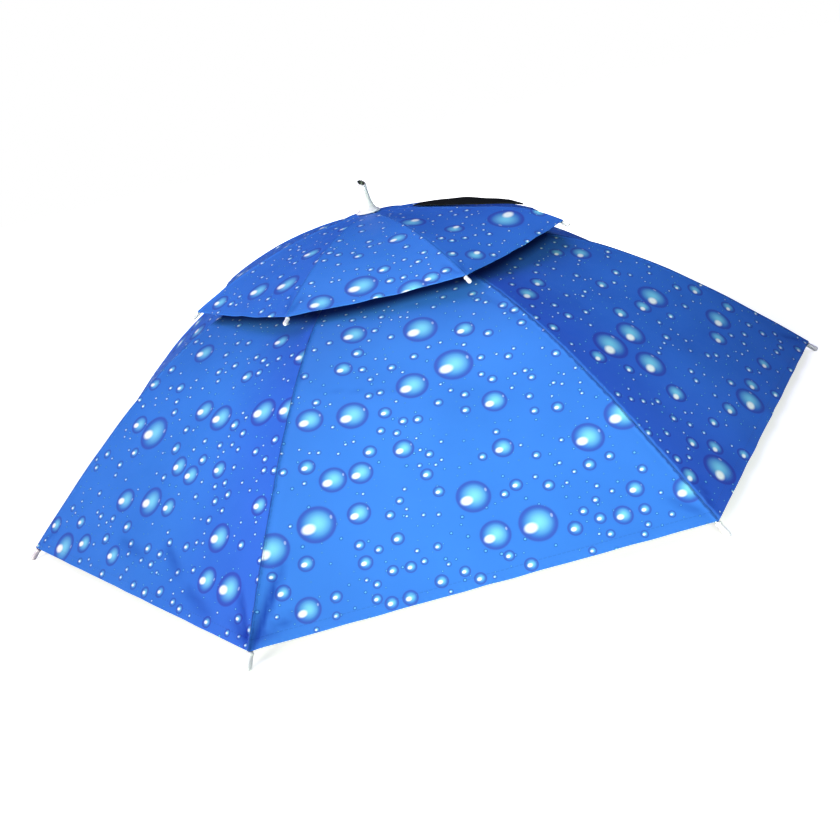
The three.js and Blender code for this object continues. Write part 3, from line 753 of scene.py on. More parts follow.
# Creases: panel, start and end as (across, along), half width and depth in mm
wideCreases = [
    (1, (0.006, 0.999), (0.058, 0.885), 3.0, 2.0), (1, (0.02, 0.99), (0.12, 0.965), 3.0, 1.0),
    (0, (0.99, 0.99), (0.92, 0.973), 2.6, 1.3), (0, (0.988, 0.99), (0.93, 0.925), 3.0, 1.5),
    (1, (0.1, 0.637), (0.51, 0.687), 1.6, 0.35), (0, (0.60, 0.916), (0.72, 0.954), 4.0, 0.9),
    (0, (0.39, 0.934), (0.57, 0.945), 4.0, 0.7), (0, (0.74, 0.962), (0.88, 0.985), 4.0, 0.9),
    (1, (0.985, 0.985), (0.93, 0.95), 2.6, 0.8), (2, (0.012, 0.985), (0.06, 0.945), 2.6, 0.9),
    (2, (0.985, 0.985), (0.93, 0.94), 2.8, 0.9), (0, (0.015, 0.985), (0.07, 0.945), 2.6, 0.8),
    (3, (0.012, 0.985), (0.07, 0.94), 2.6, 0.9), (3, (0.985, 0.985), (0.93, 0.95), 2.8, 0.9),
    (4, (0.015, 0.985), (0.06, 0.94), 2.6, 0.9), (4, (0.985, 0.985), (0.92, 0.95), 2.8, 0.8),
    (5, (0.012, 0.985), (0.07, 0.95), 2.6, 0.9), (5, (0.985, 0.985), (0.94, 0.94), 2.8, 0.9),
    (6, (0.012, 0.985), (0.06, 0.945), 2.6, 0.8), (6, (0.985, 0.985), (0.93, 0.95), 2.8, 0.9),
    (7, (0.012, 0.985), (0.07, 0.945), 2.6, 0.9), (7, (0.985, 0.985), (0.93, 0.94), 2.8, 0.8),
    (1, (0.93, 0.5), (0.97, 0.62), 2.0, 0.5), (1, (0.008, 0.6), (0.05, 0.602), 1.6, 0.7),
    (0, (0.992, 0.606), (0.94, 0.605), 1.6, 0.7),
]
smallCreases = [
    (0, (0.985, 0.98), (0.93, 0.85), 2.2, 0.7), (1, (0.015, 0.98), (0.06, 0.86), 2.2, 0.7),
    (1, (0.985, 0.98), (0.93, 0.88), 2.2, 0.6), (2, (0.015, 0.98), (0.07, 0.88), 2.2, 0.6),
    (0, (0.97, 0.5), (0.9, 0.66), 2.4, 0.6), (3, (0.985, 0.98), (0.93, 0.87), 2.2, 0.6),
    (5, (0.015, 0.98), (0.07, 0.88), 2.2, 0.6), (6, (0.985, 0.98), (0.92, 0.88), 2.2, 0.6),
]

wideCloth = {
    "rows": 84, "evenColumns": 46, "nearSeam": [0, 0.0012, 0.003, 0.0055, 0.009, 0.014, 0.022, 0.034],
    "outer": 0.25 * mm, "inner": -0.3 * mm, "seamInner": -0.6 * mm,
    "ridge": 0.5 * mm, "ridgeWidth": 1.0 * mm, "valley": 0.35 * mm, "pucker": 0.25 * mm,
    "hemFold": 9 * mm, "hemWave": 0.5 * mm, "wave": 0.35 * mm, "creases": wideCreases,
    # painted shade on each panel, the share by which its colour is darkened: left edge, middle, right edge
    "panelShades": [(0, 0, 0.32), (0, 0, 0.04), (0.44, 0.22, 0.14), (0.2, 0.12, 0.2),
              (0.2, 0.1, 0.2), (0.2, 0.08, 0.16), (0.18, 0.1, 0.2), (0.2, 0.1, 0.1)],
    "chart": wideChart, "turned": [], "seed": 41,
    "large": 9, "medium": 15, "minor": 16, "small": 92, "tiny": 110,  # how many drops a panel gets
}
smallCloth = {
    "rows": 50, "evenColumns": 24, "nearSeam": [0, 0.0025, 0.006, 0.012, 0.02, 0.034],
    "outer": 0.25 * mm, "inner": -0.3 * mm, "seamInner": -0.6 * mm,
    "ridge": 0.2 * mm, "ridgeWidth": 1.1 * mm, "valley": 0.12 * mm, "pucker": 0.12 * mm,
    "hemFold": 7 * mm, "hemWave": 0.35 * mm, "wave": 0.25 * mm, "creases": smallCreases,
    "panelShades": [(0.08, 0.1, 0.16), (0, 0, 0.04), (0.1, 0.14, 0.2), (0.12, 0.1, 0.14),
              (0.14, 0.1, 0.14), (0.14, 0.1, 0.14), (0.14, 0.1, 0.12), (0.1, 0.08, 0.1)],
    "chart": smallChart, "turned": [2, 6], "seed": 57,
    "large": 2, "medium": 4, "minor": 5, "small": 24, "tiny": 30,
}


# what both canopies share: soft waves, valleys, swells and puckers at the seams, waves at the hem
reliefLook = {
    "waves": 7, "waveLength": (0.035, 0.11), "valleyOff": 3.1 * mm, "valleyWidth": 1.5 * mm,
    "swell": 0.25, "swellLength": 0.061, "puckerLength": 0.0105, "puckerReach": 5 * mm,
    "hemLengths": (0.047, 0.029), "hemReach": 12 * mm,
}
# seeded drops: from and to, as diameters in mm, the room between two, and how often one is thrown
dropSizes = {"large": (20, 31), "medium": (12, 19), "minor": (8, 11),
             "small": (4.6, 8.4), "tiny": (2.6, 4.2)}
dropGap = 1.6 * mm
dropTries = 60


# depth of the creases: each is a bell across its line, eased to nothing at its far end
def creaseDepth(shape, look, panel, across, along):
    x, y = panelPlace(shape, across, along)
    depth = np.zeros_like(x)
    for index, start, end, wide, deep in look["creases"]:
        x0, y0 = panelPlace(shape, start[0], start[1])
        x1, y1 = panelPlace(shape, end[0], end[1])
        run = math.hypot(x1 - x0, y1 - y0)
        t = ((x - x0) * (x1 - x0) + (y - y0) * (y1 - y0)) / run ** 2
        off = np.abs((x - x0) * (y1 - y0) - (y - y0) * (x1 - x0)) / run
        taper = ease(-0.12, 0.15, t) * (1 - ease(0.5, 1.05, t))
        depth += np.where(panel == index, deep * mm * taper * bell(off, 0, wide * mm), 0)
    return depth


# soft waves of the stretched cloth: a few seeded cosines over the panel, gone at the seams
def softWaves(shape, look, panel, across, along):
    rng = np.random.default_rng(look["seed"])
    x, y = panelPlace(shape, across, along)
    total = np.zeros_like(x)
    for _ in range(reliefLook["waves"]):
        turn = rng.uniform(0, math.pi, ribCount)[panel]
        length = rng.uniform(*reliefLook["waveLength"], ribCount)[panel]
        start = rng.uniform(0, 2 * math.pi, ribCount)[panel]
        total += np.cos((x * np.cos(turn) + y * np.sin(turn)) * 2 * math.pi / length + start)
    return look["wave"] * total / 2.5 * np.clip(4 * across * (1 - across), 0, 1) ** 0.7


# relief on the cloth's outer face: a ridge with a valley on each side of it at the seams, small
# puckers along them, waves at the hem, less the creases
def clothRelief(shape, look, panel, across, along):
    seam = np.minimum(across, 1 - across) * panelWidth(shape, along)
    side = (panel + (across > 0.5)) % ribCount
    up = clothLength(shape, along)
    turn = up * 2 * math.pi / reliefLook["swellLength"]
    swell = 1 + reliefLook["swell"] * np.sin(turn + side * 1.7)
    relief = look["ridge"] * swell * bell(seam, 0, look["ridgeWidth"])
    relief -= look["valley"] * bell(seam, reliefLook["valleyOff"], reliefLook["valleyWidth"])
    step = up * 2 * math.pi / reliefLook["puckerLength"]
    gather = np.sin(step + side * 2.1 + 2 * np.sin(up * 90 + side))
    relief += look["pucker"] * gather * np.exp(-seam / reliefLook["puckerReach"]) * ease(0, 1.5 * mm, seam)
    sideways = (across - 0.5) * panelWidth(shape, along)
    longer, shorter = reliefLook["hemLengths"]
    wave = np.sin(sideways * 2 * math.pi / longer + side * 1.3)
    wave = wave + 0.6 * np.sin(sideways * 2 * math.pi / shorter + panel)
    fade = np.clip(8 * across * (1 - across), 0, 1)
    relief += look["hemWave"] * wave * np.exp(-up / reliefLook["hemReach"]) * fade
    relief += softWaves(shape, look, panel, across, along)
    relief -= creaseDepth(shape, look, panel, across, along) * ease(0, 1.2 * mm, seam)
    return relief


# the drops of one panel: the charted ones, then seeded ones thrown where they touch no other
def panelDrops(shape, look, panel, rng):
    rows = list(look["chart"].get(panel, []))
    kinds = ["small", "tiny"] if rows else list(dropSizes)
    wanted = [dropSizes[kind] for kind in kinds for _ in range(look[kind])]
    inner = shape["inner"] / shape["radius"]
    centres = [panelPlace(shape, row[0], row[1]) for row in rows]
    x = [float(c[0]) for c in centres]
    y = [float(c[1]) for c in centres]
    r = [row[2] * mm / 2 for row in rows]
    for low, high in wanted:
        size = rng.uniform(low, high) * mm / 2
        along = np.sqrt(rng.uniform(inner ** 2, 1, dropTries))
        across = rng.uniform(0, 1, dropTries)
        tryX, tryY = panelPlace(shape, across, along)
        if r:
            away = np.hypot(tryX[:, None] - np.array(x), tryY[:, None] - np.array(y))
            free = np.flatnonzero((away - np.array(r) - size).min(1) > dropGap)
        else:
            free = np.arange(1)
        if len(free):
            x.append(float(tryX[free[0]]))
            y.append(float(tryY[free[0]]))
            r.append(size)
    return np.array(x), np.array(y), np.array(r)


# For each face the three drops that reach it, as each corner's place from the drop's middle over
# its radius, with the drop's size from 0 to 1 as the third number
def dropLayers(shape, look, panel, across, along):
    rng = np.random.default_rng(look["seed"] + 7)
    x, y = panelPlace(shape, across, along)
    layers = np.full((3, len(panel), 4, 3), 9.0)
    layers[..., 2] = 0
    for index in range(ribCount):
        dropX, dropY, dropR = panelDrops(shape, look, index, rng)
        here = np.flatnonzero(panel == index)
        faceX, faceY = x[here], y[here]
        midX, midY = faceX.mean(1), faceY.mean(1)
        half = np.hypot(np.ptp(faceX, axis=1), np.ptp(faceY, axis=1)) / 2
        room = np.hypot(midX[:, None] - dropX, midY[:, None] - dropY) - 1.06 * dropR - half[:, None]
        order = np.argsort(-dropR)
        way = -1 if index in look["turned"] else 1
        hit = room[:, order] < 0
        rank = np.cumsum(hit, axis=1)
        for layer in range(3):
            found = hit & (rank == layer + 1)
            face, which = np.nonzero(found)
            drop = order[which]
            local = np.stack([way * (faceX[face] - dropX[drop][:, None]) / dropR[drop][:, None],
                              way * (faceY[face] - dropY[drop][:, None]) / dropR[drop][:, None],
                              np.repeat(ease(3.5 * mm, 9 * mm, dropR[drop])[:, None], 4, 1)], -1)
            layers[layer, here[face]] = local
    return layers


# A canopy: rows run out over the upper face, round the hem, back under it and round the inner edge
def makeCanopy(name, node, shape, look, ink):
    inner = shape["inner"] / shape["radius"]
    near = look["nearSeam"]
    even = np.linspace(0.05, 0.95, look["evenColumns"] + 1)
    across = np.concatenate([near, even, 1 - np.array(near[:0:-1])])
    perPanel = len(across)
    columnAcross = np.tile(across, ribCount)
    columnPanel = np.repeat(np.arange(ribCount), perPanel)
    hemRows = [1 - 0.6 * mm / shape["radius"]]
    evenRows = np.linspace(inner, 1 - 1.6 * mm / shape["radius"], look["rows"])
    along = np.concatenate([evenRows, hemRows, [1.0]])
    edge = 0.25 * mm / shape["radius"]
    rowAlong = np.concatenate([along, [1 + edge], along[::-1], [inner - edge]])
    rowSide = np.concatenate([np.ones(len(along)), [0], -np.ones(len(along)), [0]])
    count = len(rowAlong)
    a = np.broadcast_to(rowAlong[:, None], (count, len(columnAcross)))
    u = np.broadcast_to(columnAcross[None, :], a.shape)
    p = np.broadcast_to(columnPanel[None, :], a.shape)
    side = np.broadcast_to(rowSide[:, None], a.shape)
    held = np.clip(a, inner, 1)
    relief = clothRelief(shape, look, p, u, held)
    seam = np.minimum(u, 1 - u) * panelWidth(shape, held)
    hem = clothLength(shape, held)
    under = look["inner"] + (look["seamInner"] - look["inner"]) * bell(seam, 0, 3.2 * mm)
    under = under - 0.22 * mm * (1 - ease(look["hemFold"] - 0.6 * mm, look["hemFold"] + 0.2 * mm, hem))
    upper = look["outer"] + relief
    ridge = look["ridge"] * bell(seam, 0, look["ridgeWidth"])
    lower = under + relief - ridge
    offset = np.where(side > 0, upper, np.where(side < 0, lower, (upper + lower) / 2))
    places = clothPlace(shape, p, u, a, offset)

    faces = gridFaces(count, len(columnAcross), True, True)
    rowOf = np.repeat(np.arange(count), len(columnAcross))
    columnOf = np.tile(np.arange(len(columnAcross)), count)
    nextRow = (rowOf + 1) % count
    faceU = columnAcross[columnOf]
    nextColumn = (columnOf + 1) % len(columnAcross)
    ahead = np.where((columnOf + 1) % perPanel == 0, 1.0, columnAcross[nextColumn])
    cornerU = np.stack([faceU, faceU, ahead, ahead], -1)
    cornerA = np.stack([rowAlong[rowOf], rowAlong[nextRow], rowAlong[nextRow], rowAlong[rowOf]], -1)
    cornerA = np.clip(cornerA, inner, 1)
    facePanel = columnPanel[columnOf]
    outside = (rowSide[rowOf] >= 0) & (rowSide[nextRow] >= 0)
    cornerHem = clothLength(shape, cornerA)
    folded = ~outside & (cornerHem.max(1) < look["hemFold"])
    faceSlots = np.where(outside | folded, 0, 1)
    cornerX, cornerY = panelPlace(shape, cornerU, cornerA)
    uv = np.stack([cornerX + 0.41 * facePanel[:, None], cornerY + 0.013 * facePanel[:, None]], -1)
    layers = dropLayers(shape, look, facePanel, cornerU, cornerA)
    layers[:, ~outside] = (9, 9, 0)
    cornerSeam = np.minimum(cornerU, 1 - cornerU) * panelWidth(shape, cornerA)
    cornerSeam = cornerSeam * np.where(cornerU.mean(1) < 0.5, 1.0, -1.0)[:, None]
    edges = np.stack([cornerSeam, cornerHem, cornerA - inner], -1)
    # painted shade: each corner's share of darkening, eased from the panel's middle out to its edges
    panelShadeLeft, panelShadeMiddle, panelShadeRight = np.array(look["panelShades"], float)[facePanel].T[:, :, None]
    tone = panelShadeMiddle + (panelShadeLeft - panelShadeMiddle) * (1 - ease(0, 0.5, cornerU))
    tone = tone + (panelShadeRight - panelShadeMiddle) * ease(0.5, 1, cornerU)
    # painted shade in the creases: a share of darkening from each corner's crease depth
    creaseShading = creaseDepth(shape, look, np.repeat(facePanel[:, None], 4, 1), cornerU, cornerA)
    creaseShading = np.clip(0.62 * creaseShading / (1.5 * mm), 0, 0.85)

    # a face's first two edges should turn so that it looks away from the cloth's middle
    corner = places.reshape(-1, 3)
    first = faces[len(columnAcross) * 3 + perPanel // 2]
    facing = np.cross(corner[first[1]] - corner[first[0]], corner[first[3]] - corner[first[0]])
    if facing[2] < 0:
        faces = faces[:, ::-1]
        uv, layers, edges = uv[:, ::-1], layers[:, :, ::-1], edges[:, ::-1]
        tone, creaseShading = tone[:, ::-1], creaseShading[:, ::-1]
    piece = addMesh(name, corner, faces, [ink, coating], faceSlots, uv.reshape(-1, 2))
    for label, values in zip(("dropA", "dropB", "dropC", "edges"), (*layers, edges)):
        layer = piece.data.attributes.new(label, "FLOAT_VECTOR", "CORNER")
        layer.data.foreach_set("vector", np.ascontiguousarray(values, np.float32).ravel())
    for label, values in (("tone", tone), ("creaseShade", creaseShading)):
        layer = piece.data.attributes.new(label, "FLOAT", "CORNER")
        layer.data.foreach_set("value", np.ascontiguousarray(values, np.float32).ravel())
    dress(piece, node)
    # laid flat, the cloth is 9 % wider than it stands; its area is that of the panels less the vent
    cut = ribCount * 0.5 * panelWidth(shape, 1) * clothLength(shape, 0)
    cut -= ribCount * 0.5 * panelWidth(shape, inner) * (clothLength(shape, 0) - clothLength(shape, inner))


makeCanopy("wide_cloth", "wide_canopy", wideShape, wideCloth, wideInk)
print("stage: the wide canopy is sewn")
makeCanopy("small_cloth", "small_canopy", smallShape, smallCloth, smallInk)
print("stage: the small canopy is sewn")

longRib = {"name": "long", "start": 18.3 * mm, "reach": 6.5 * mm, "steps": 60, "sides": 14,
           "capRadius": 2.2 * mm, "capLength": 11 * mm, "socket": 6.5 * mm, "capSides": 24}
shortRib = {"name": "short", "start": 14.3 * mm, "reach": 4 * mm, "steps": 40, "sides": 14,
            "capRadius": 1.8 * mm, "capLength": 7.5 * mm, "socket": 4 * mm, "capSides": 24}


# where a rib leaves the cloth and which way it points, as (out, up)
def ribEnd(shape, rib):
    reach, height = ribLine(shape, 1.0, -(wall / 2 + air + shape["ribRadius"]), rib)
    out, up = outwardAt(shape, 1.0, rib)
    return np.array([reach, height]), np.array([up, -out])


# a wire under the cloth: a circle carried along the rib's line, then straight on into its cap
def makeRib(shape, look, index):
    turn = shape["turn"] + index * ribTurn
    share = np.linspace(look["start"] / shape["radius"], 1, look["steps"])
    reach, height = ribLine(shape, share, -(wall / 2 + air + shape["ribRadius"]), index)
    end, way = ribEnd(shape, index)
    last = [end + way * look["reach"] * k for k in (0.4, 0.97, 1.0)]
    line = np.concatenate([np.stack([reach, height], -1), last])
    line = np.concatenate([line[:1], line[:1] * 0.98 + line[1:2] * 0.02, line[1:], line[-1:]])
    scale = np.ones(len(line))
    scale[0], scale[-1] = 0.0, 0.0
    scale[1], scale[-2] = 0.94, 0.9
    forward = np.gradient(line, axis=0)
    forward = forward / np.maximum(np.linalg.norm(forward, axis=1, keepdims=True), 1e-9)
    upward = np.stack([-forward[:, 1], forward[:, 0]], -1)
    around, lift, side = spoke(turn)
    path = line[:, :1] * around + line[:, 1:] * lift
    up = upward[:, :1] * around + upward[:, 1:] * lift
    angle = np.linspace(0, 2 * math.pi, look["sides"], endpoint=False)
    section = shape["ribRadius"] * np.stack([np.cos(angle), np.sin(angle)], -1)
    places = sweptPlaces(path, np.broadcast_to(side, path.shape), up, section, scale)
    name = f"{look['name']}_wire_{index + 1}"
    faces = gridFaces(len(path), len(section), False, True)
    piece = closeUp(addMesh(name, places.reshape(-1, 3), faces, [steel]))
    dress(piece, f"{look['name']}_rib_{index + 1}")


# a cap: a turned profile with a blind socket, a lip, a faint waist and a round nose, laid along its rib
def makeCap(shape, look, index):
    turn = shape["turn"] + index * ribTurn
    radius, length = look["capRadius"], look["capLength"]
    bore = shape["ribRadius"] + air * 0.6
    body = [(0, look["socket"]), (bore, look["socket"]), (bore, 0.1 * mm), (radius * 0.93, 0.0),
            (radius, length * 0.05), (radius, length * 0.12), (radius * 0.86, length * 0.17),
            (radius * 0.86, length * 0.3), (radius * 0.95, length * 0.42), (radius, length * 0.6)]
    turnOver = np.linspace(0, math.pi / 2, 10)
    nose = np.stack([radius * np.cos(turnOver), length - radius + radius * np.sin(turnOver)], -1)
    profile = np.concatenate([roundProfile(body, 0.35 * mm, 3), nose])
    local = turnedPlaces(profile, look["capSides"])
    end, way = ribEnd(shape, index)
    around, lift, side = spoke(turn)
    axis = way[0] * around + way[1] * lift
    top = np.cross(axis, side)
    start = end[0] * around + end[1] * lift + air * axis
    places = start + local[..., :1] * side + local[..., 1:2] * top + local[..., 2:] * axis
    name = f"{look['name']}_cap_{index + 1}"
    faces = gridFaces(len(profile), look["capSides"], False, True)
    piece = closeUp(addMesh(name, places.reshape(-1, 3), faces, [whitePlastic]))
    dress(piece, f"{look['name']}_tip_{index + 1}")


for index in range(ribCount):
    makeRib(wideShape, longRib, index)
    makeCap(wideShape, longRib, index)
    makeRib(smallShape, shortRib, index)
    makeCap(smallShape, shortRib, index)
print("stage: the ribs and their caps are made")

postLook = {"radius": 6 * mm, "hub": 24 * mm, "groove": 18 * mm, "flange": 3 * mm, "collar": 14 * mm,
            "collarHeight": 7 * mm, "round": 0.6 * mm}


# height of the middle of a canopy's ribs where they meet the post's hub or collar
def ribHeight(shape, reach):
    return float(ribLine(shape, reach / shape["radius"], -(wall / 2 + air + shape["ribRadius"]))[1])


longHeight = ribHeight(wideShape, postLook["hub"])
shortHeight = ribHeight(smallShape, postLook["collar"])
apexTop = smallShape["lift"] + smallShape["rise"] + wall / 2
grooveHalf = wideShape["ribRadius"] + air
hubBottom = longHeight - grooveHalf - postLook["flange"]


# a piece turned about the post's axis
def makeTurned(name, node, profile, sides, material, closed=False):
    places = turnedPlaces(profile, sides)
    faces = gridFaces(len(profile), sides, closed, True)
    barMap = turnedMap(profile, sides, closed)
    piece = closeUp(addMesh(name, places.reshape(-1, 3), faces, [material], None, barMap))
    dress(piece, node)


collarTop = shortHeight + smallShape["ribRadius"] - air
collarBottom = collarTop - postLook["collarHeight"]
grooveLow, grooveHigh = longHeight - grooveHalf, longHeight + grooveHalf
hubTop = grooveHigh + postLook["flange"]
hub, collar, post = postLook["hub"], postLook["collar"], postLook["radius"]
postRows = [
    (0, hubBottom), (hub, hubBottom), (hub, grooveLow), (postLook["groove"], grooveLow),
    (postLook["groove"], grooveHigh), (hub, grooveHigh), (hub, hubTop), (post, hubTop),
    (post, collarBottom), (collar, collarTop - postLook["collarHeight"] / 2), (collar, collarTop),
    (post, collarTop), (post, apexTop), (0, apexTop),
]
postProfile = roundProfile(postRows, postLook["round"])
makeTurned("post_and_hub", "centre_post", postProfile, 64, whitePlastic)

spikeLook = {
    "height": 31 * mm, "radius": 4.5 * mm, "flange": 12 * mm, "flangeHeight": 1.8 * mm, "sides": 48,
    "bore": 3.3 * mm, "boreDepth": 7 * mm, "boreRows": 9, "slant": 0.66, "slantFall": 9 * mm,
    "slantTurn": math.radians(-58), "slitShade": 5 * mm, "slitTurn": math.radians(-15),
    "flare": [(11.6, 1.8), (8.9, 3.3), (7.2, 5.6), (6.1, 8.6), (5.2, 12.6), (4.5, 17.5), (4.15, 22.5),
              (4.2, 27), (4.4, 30.4)],
}


# the spike: a flange, a flare that narrows to the stem, and a thin-walled open end cut at a slant:
# the upper rows sink by the slant times how far they reach along the slant's turn
def makeSpike(look):
    height, bore, sides = look["height"], look["bore"], look["sides"]
    out, up = np.array(look["flare"]).T * mm
    fineUp = np.interp(np.linspace(0, 1, 30), np.linspace(0, 1, len(up)), up)
    fineOut = np.interp(fineUp, up, out)
    smoothOut = np.convolve(np.pad(fineOut, 2, mode="edge"), [0.1, 0.2, 0.4, 0.2, 0.1], "valid")
    side = np.stack([smoothOut, fineUp], -1)
    flange, thick = look["flange"], look["flangeHeight"]
    foot = roundProfile([(0, 0), (flange - 0.2 * mm, 0), (flange, thick * 0.5),
                         (flange - 0.3 * mm, thick), tuple(side[0])], 0.4 * mm)
    top = roundProfile([tuple(side[-1]), (side[-1][0] - 0.1 * mm, height), (bore, height),
                        (bore, height - look["boreDepth"]), (0, height - look["boreDepth"])], 0.3 * mm)
    profile = np.concatenate([foot[:-1], side, top[1:]])
    places = turnedPlaces(profile, sides)
    reach = places[..., 0] * math.cos(look["slantTurn"]) + places[..., 1] * math.sin(look["slantTurn"])
    share = ease(height - look["slantFall"], height, places[..., 2])
    places[..., 2] -= share * look["slant"] * (reach + look["radius"])
    places[..., 2] += apexTop + air
    faces = gridFaces(len(profile), sides, False, True)
    row, column = np.divmod(np.arange(len(faces)), sides)
    # painted shade: the bore's inside rows and a one-face stripe down the open end, standing for a slit,
    # take black plastic
    inside = row >= len(profile) - look["boreRows"]
    slitColumn = round(look["slitTurn"] / (2 * math.pi) * sides) % sides
    slitShade = (column == slitColumn) & (profile[row, 1] > height - look["slitShade"])
    piece = closeUp(addMesh("spike_shell", places.reshape(-1, 3), faces, [whitePlastic, blackPlastic],
                            np.where(inside | slitShade, 1, 0), turnedMap(profile, sides)))
    dress(piece, "top_spike")


makeSpike(spikeLook)
print("stage: the post and the spike are made")

headLook = {
    "plate": 34 * mm, "plateThickness": 3 * mm, "arms": 4, "armWidth": 14 * mm, "armThickness": 2.6 * mm,
    "band": 90 * mm, "bandThickness": 2.4 * mm, "bandHeight": 28 * mm, "bandDrop": 104 * mm,
    "round": 0.9 * mm,
    # an arm's arch, as shares of its reach and of its fall
    "arch": [(-0.12, 0), (0.1, 0.01), (0.4, 0.09), (0.68, 0.27), (0.88, 0.52), (0.98, 0.8), (1, 1.05)],
}


# a plate under the hub with four arms: a rounded bar carried over an arch and down outside the band
def makeHeadFrame(look):
    plateTop = hubBottom - air
    middle = plateTop - look["plateThickness"] / 2
    bandBottom = hubBottom - look["bandDrop"]
    foot = look["band"] + look["bandThickness"] + air + look["armThickness"] / 2
    arch = foot - look["plate"]
    fall = middle - (bandBottom + look["bandHeight"])
    rows = np.array(look["arch"])
    out = np.append(look["plate"] + arch * rows[:, 0], foot)
    down = np.append(middle - fall * rows[:, 1], bandBottom)
    length = np.concatenate([[0], np.cumsum(np.hypot(np.diff(out), np.diff(down)))])
    even = np.linspace(0, length[-1], 46)
    line = np.stack([np.interp(even, length, out), np.interp(even, length, down)], -1)
    kernel = np.array([0.06, 0.24, 0.4, 0.24, 0.06])
    for _ in range(4):
        padded = np.pad(line, ((2, 2), (0, 0)), mode="reflect", reflect_type="odd")
        line = np.stack([np.convolve(padded[:, k], kernel, "valid") for k in (0, 1)], -1)
    forward = np.gradient(line, axis=0)
    forward /= np.linalg.norm(forward, axis=1, keepdims=True)
    line = np.concatenate([line[:1], line, line[-1:]])
    forward = np.concatenate([forward[:1], forward, forward[-1:]])
    scale = np.ones(len(line))
    scale[0] = scale[-1] = 0
    scale[1] = scale[-2] = 0.94
    section = roundBar(look["armWidth"] / 2, look["armThickness"] / 2, look["round"])
    plateBottom = plateTop - look["plateThickness"]
    plate = roundProfile([(0, plateBottom), (look["plate"], plateBottom), (look["plate"], plateTop),
                          (0, plateTop)], look["round"])
    places = [turnedPlaces(plate, 64).reshape(-1, 3)]
    faces = [gridFaces(len(plate), 64, False, True)]
    for k in range(look["arms"]):
        turn = 2 * math.pi * k / look["arms"]
        around, lift, side = spoke(turn)
        path = line[:, :1] * around + line[:, 1:] * lift
        up = -forward[:, 1:] * around + forward[:, :1] * lift
        arm = sweptPlaces(path, np.broadcast_to(side, path.shape), up, section, scale).reshape(-1, 3)
        faces.append(gridFaces(len(path), len(section), False, True) + sum(len(p) for p in places))
        places.append(arm)
    places, faces = np.concatenate(places), np.concatenate(faces)
    piece = closeUp(addMesh("head_plate_and_arms", places, faces, [blackPlastic]))
    dress(piece, "head_frame")


makeHeadFrame(headLook)

bandBottom = hubBottom - headLook["bandDrop"]
bandTop = bandBottom + headLook["bandHeight"]
inner, outer = headLook["band"], headLook["band"] + headLook["bandThickness"]
bandRows = roundProfile([
    ((inner + outer) / 2, bandBottom), (outer, bandBottom), (outer, bandTop),
    (inner, bandTop), (inner, bandBottom), ((inner + outer) / 2, bandBottom),
], 0.7 * mm)
makeTurned("elastic_band", "head_band", bandRows[:-1], 128, bandWeave, closed=True)
print("stage: the head frame and its band are made")

strapLook = {"rib": 3, "start": 46 * mm, "length": 100 * mm, "width": 22 * mm, "offset": 4 * mm,
             "thickness": 1.6 * mm, "single": 0.72, "foldAt": (0.84, 0.87),
             "lift": 2 * mm, "curl": 4 * mm, "ripple": 0.4 * mm}


# the strap: a rounded bar laid on the small canopy beside a rib, its outer end folded double and loose
def makeStrap(look):
    shape = smallShape
    turn = shape["turn"] + look["rib"] * ribTurn
    middleTurn = turn + ribTurn / 2
    share = np.concatenate([[0.0], np.linspace(0, 1, 64), [1.0]])
    section = roundBar(0.5, 0.5, 0.1, 3)
    sx, sz = section[:, 0] + 0.5, section[:, 1] + 0.5
    pinch = np.ones(len(share))
    pinch[0] = pinch[-1] = 0
    across = look["width"] * (0.5 + (sx[None, :] - 0.5) * pinch[:, None]) + look["offset"]
    out = (look["start"] + look["length"] * share)[:, None] + 0 * across
    x = out * math.cos(turn) - across * math.sin(turn)
    y = out * math.sin(turn) + across * math.cos(turn)
    toHem = shape["radius"] * math.cos(ribTurn / 2)
    along = (x * math.cos(middleTurn) + y * math.sin(middleTurn)) / toHem
    aside = 0.5 + (y * math.cos(middleTurn) - x * math.sin(middleTurn)) / panelWidth(shape, along)
    tilt = np.sqrt(1 + slopeAt(shape, along, look["rib"]) ** 2)
    rise = ((1 - aside) * ribRise(shape, along, look["rib"])
            + aside * ribRise(shape, along, look["rib"] + 1))
    floor = shape["lift"] + rise + (wall / 2 + air) * tilt
    single, double = look["single"], 1 - look["single"]
    thick = look["thickness"] * (single + double * ease(*look["foldAt"], share))[:, None]
    across01 = (across - look["offset"]) / look["width"]
    curl = look["curl"] * across01 * np.sin(math.pi * share)[:, None]
    z = floor + look["lift"] * share[:, None] ** 2 + curl
    z = z + thick * (0.5 + (sz[None, :] - 0.5) * pinch[:, None])
    z = z + look["ripple"] * (1 + np.sin(share * 17))[:, None] * ease(0.1, 0.5, share)[:, None] * across01
    places = np.stack([x, y, z], -1)
    path = np.stack([look["length"] * share, 0 * share], -1)
    barMap = sweptMap(path, section * np.array([look["width"], look["thickness"]]))
    faces = gridFaces(len(share), len(section), False, True)
    piece = closeUp(addMesh("strap_webbing", places.reshape(-1, 3), faces, [strapWeave], None,
                            barMap[:, ::-1]))
    dress(piece, "closing_strap")


makeStrap(strapLook)
print("stage: the strap is laid")

stageLook = {
    "floor": (0.8, 0.8, 0.81, 1), "specular": 0.1, "roughness": 0.9, "reach": 30.0,
    "near": 0.36, "far": 0.62, "glowNear": 0.7, "glowFar": 1.6,
    "world": (0.6, 0.72, 1.0, 1), "worldStrength": 0.03,
}

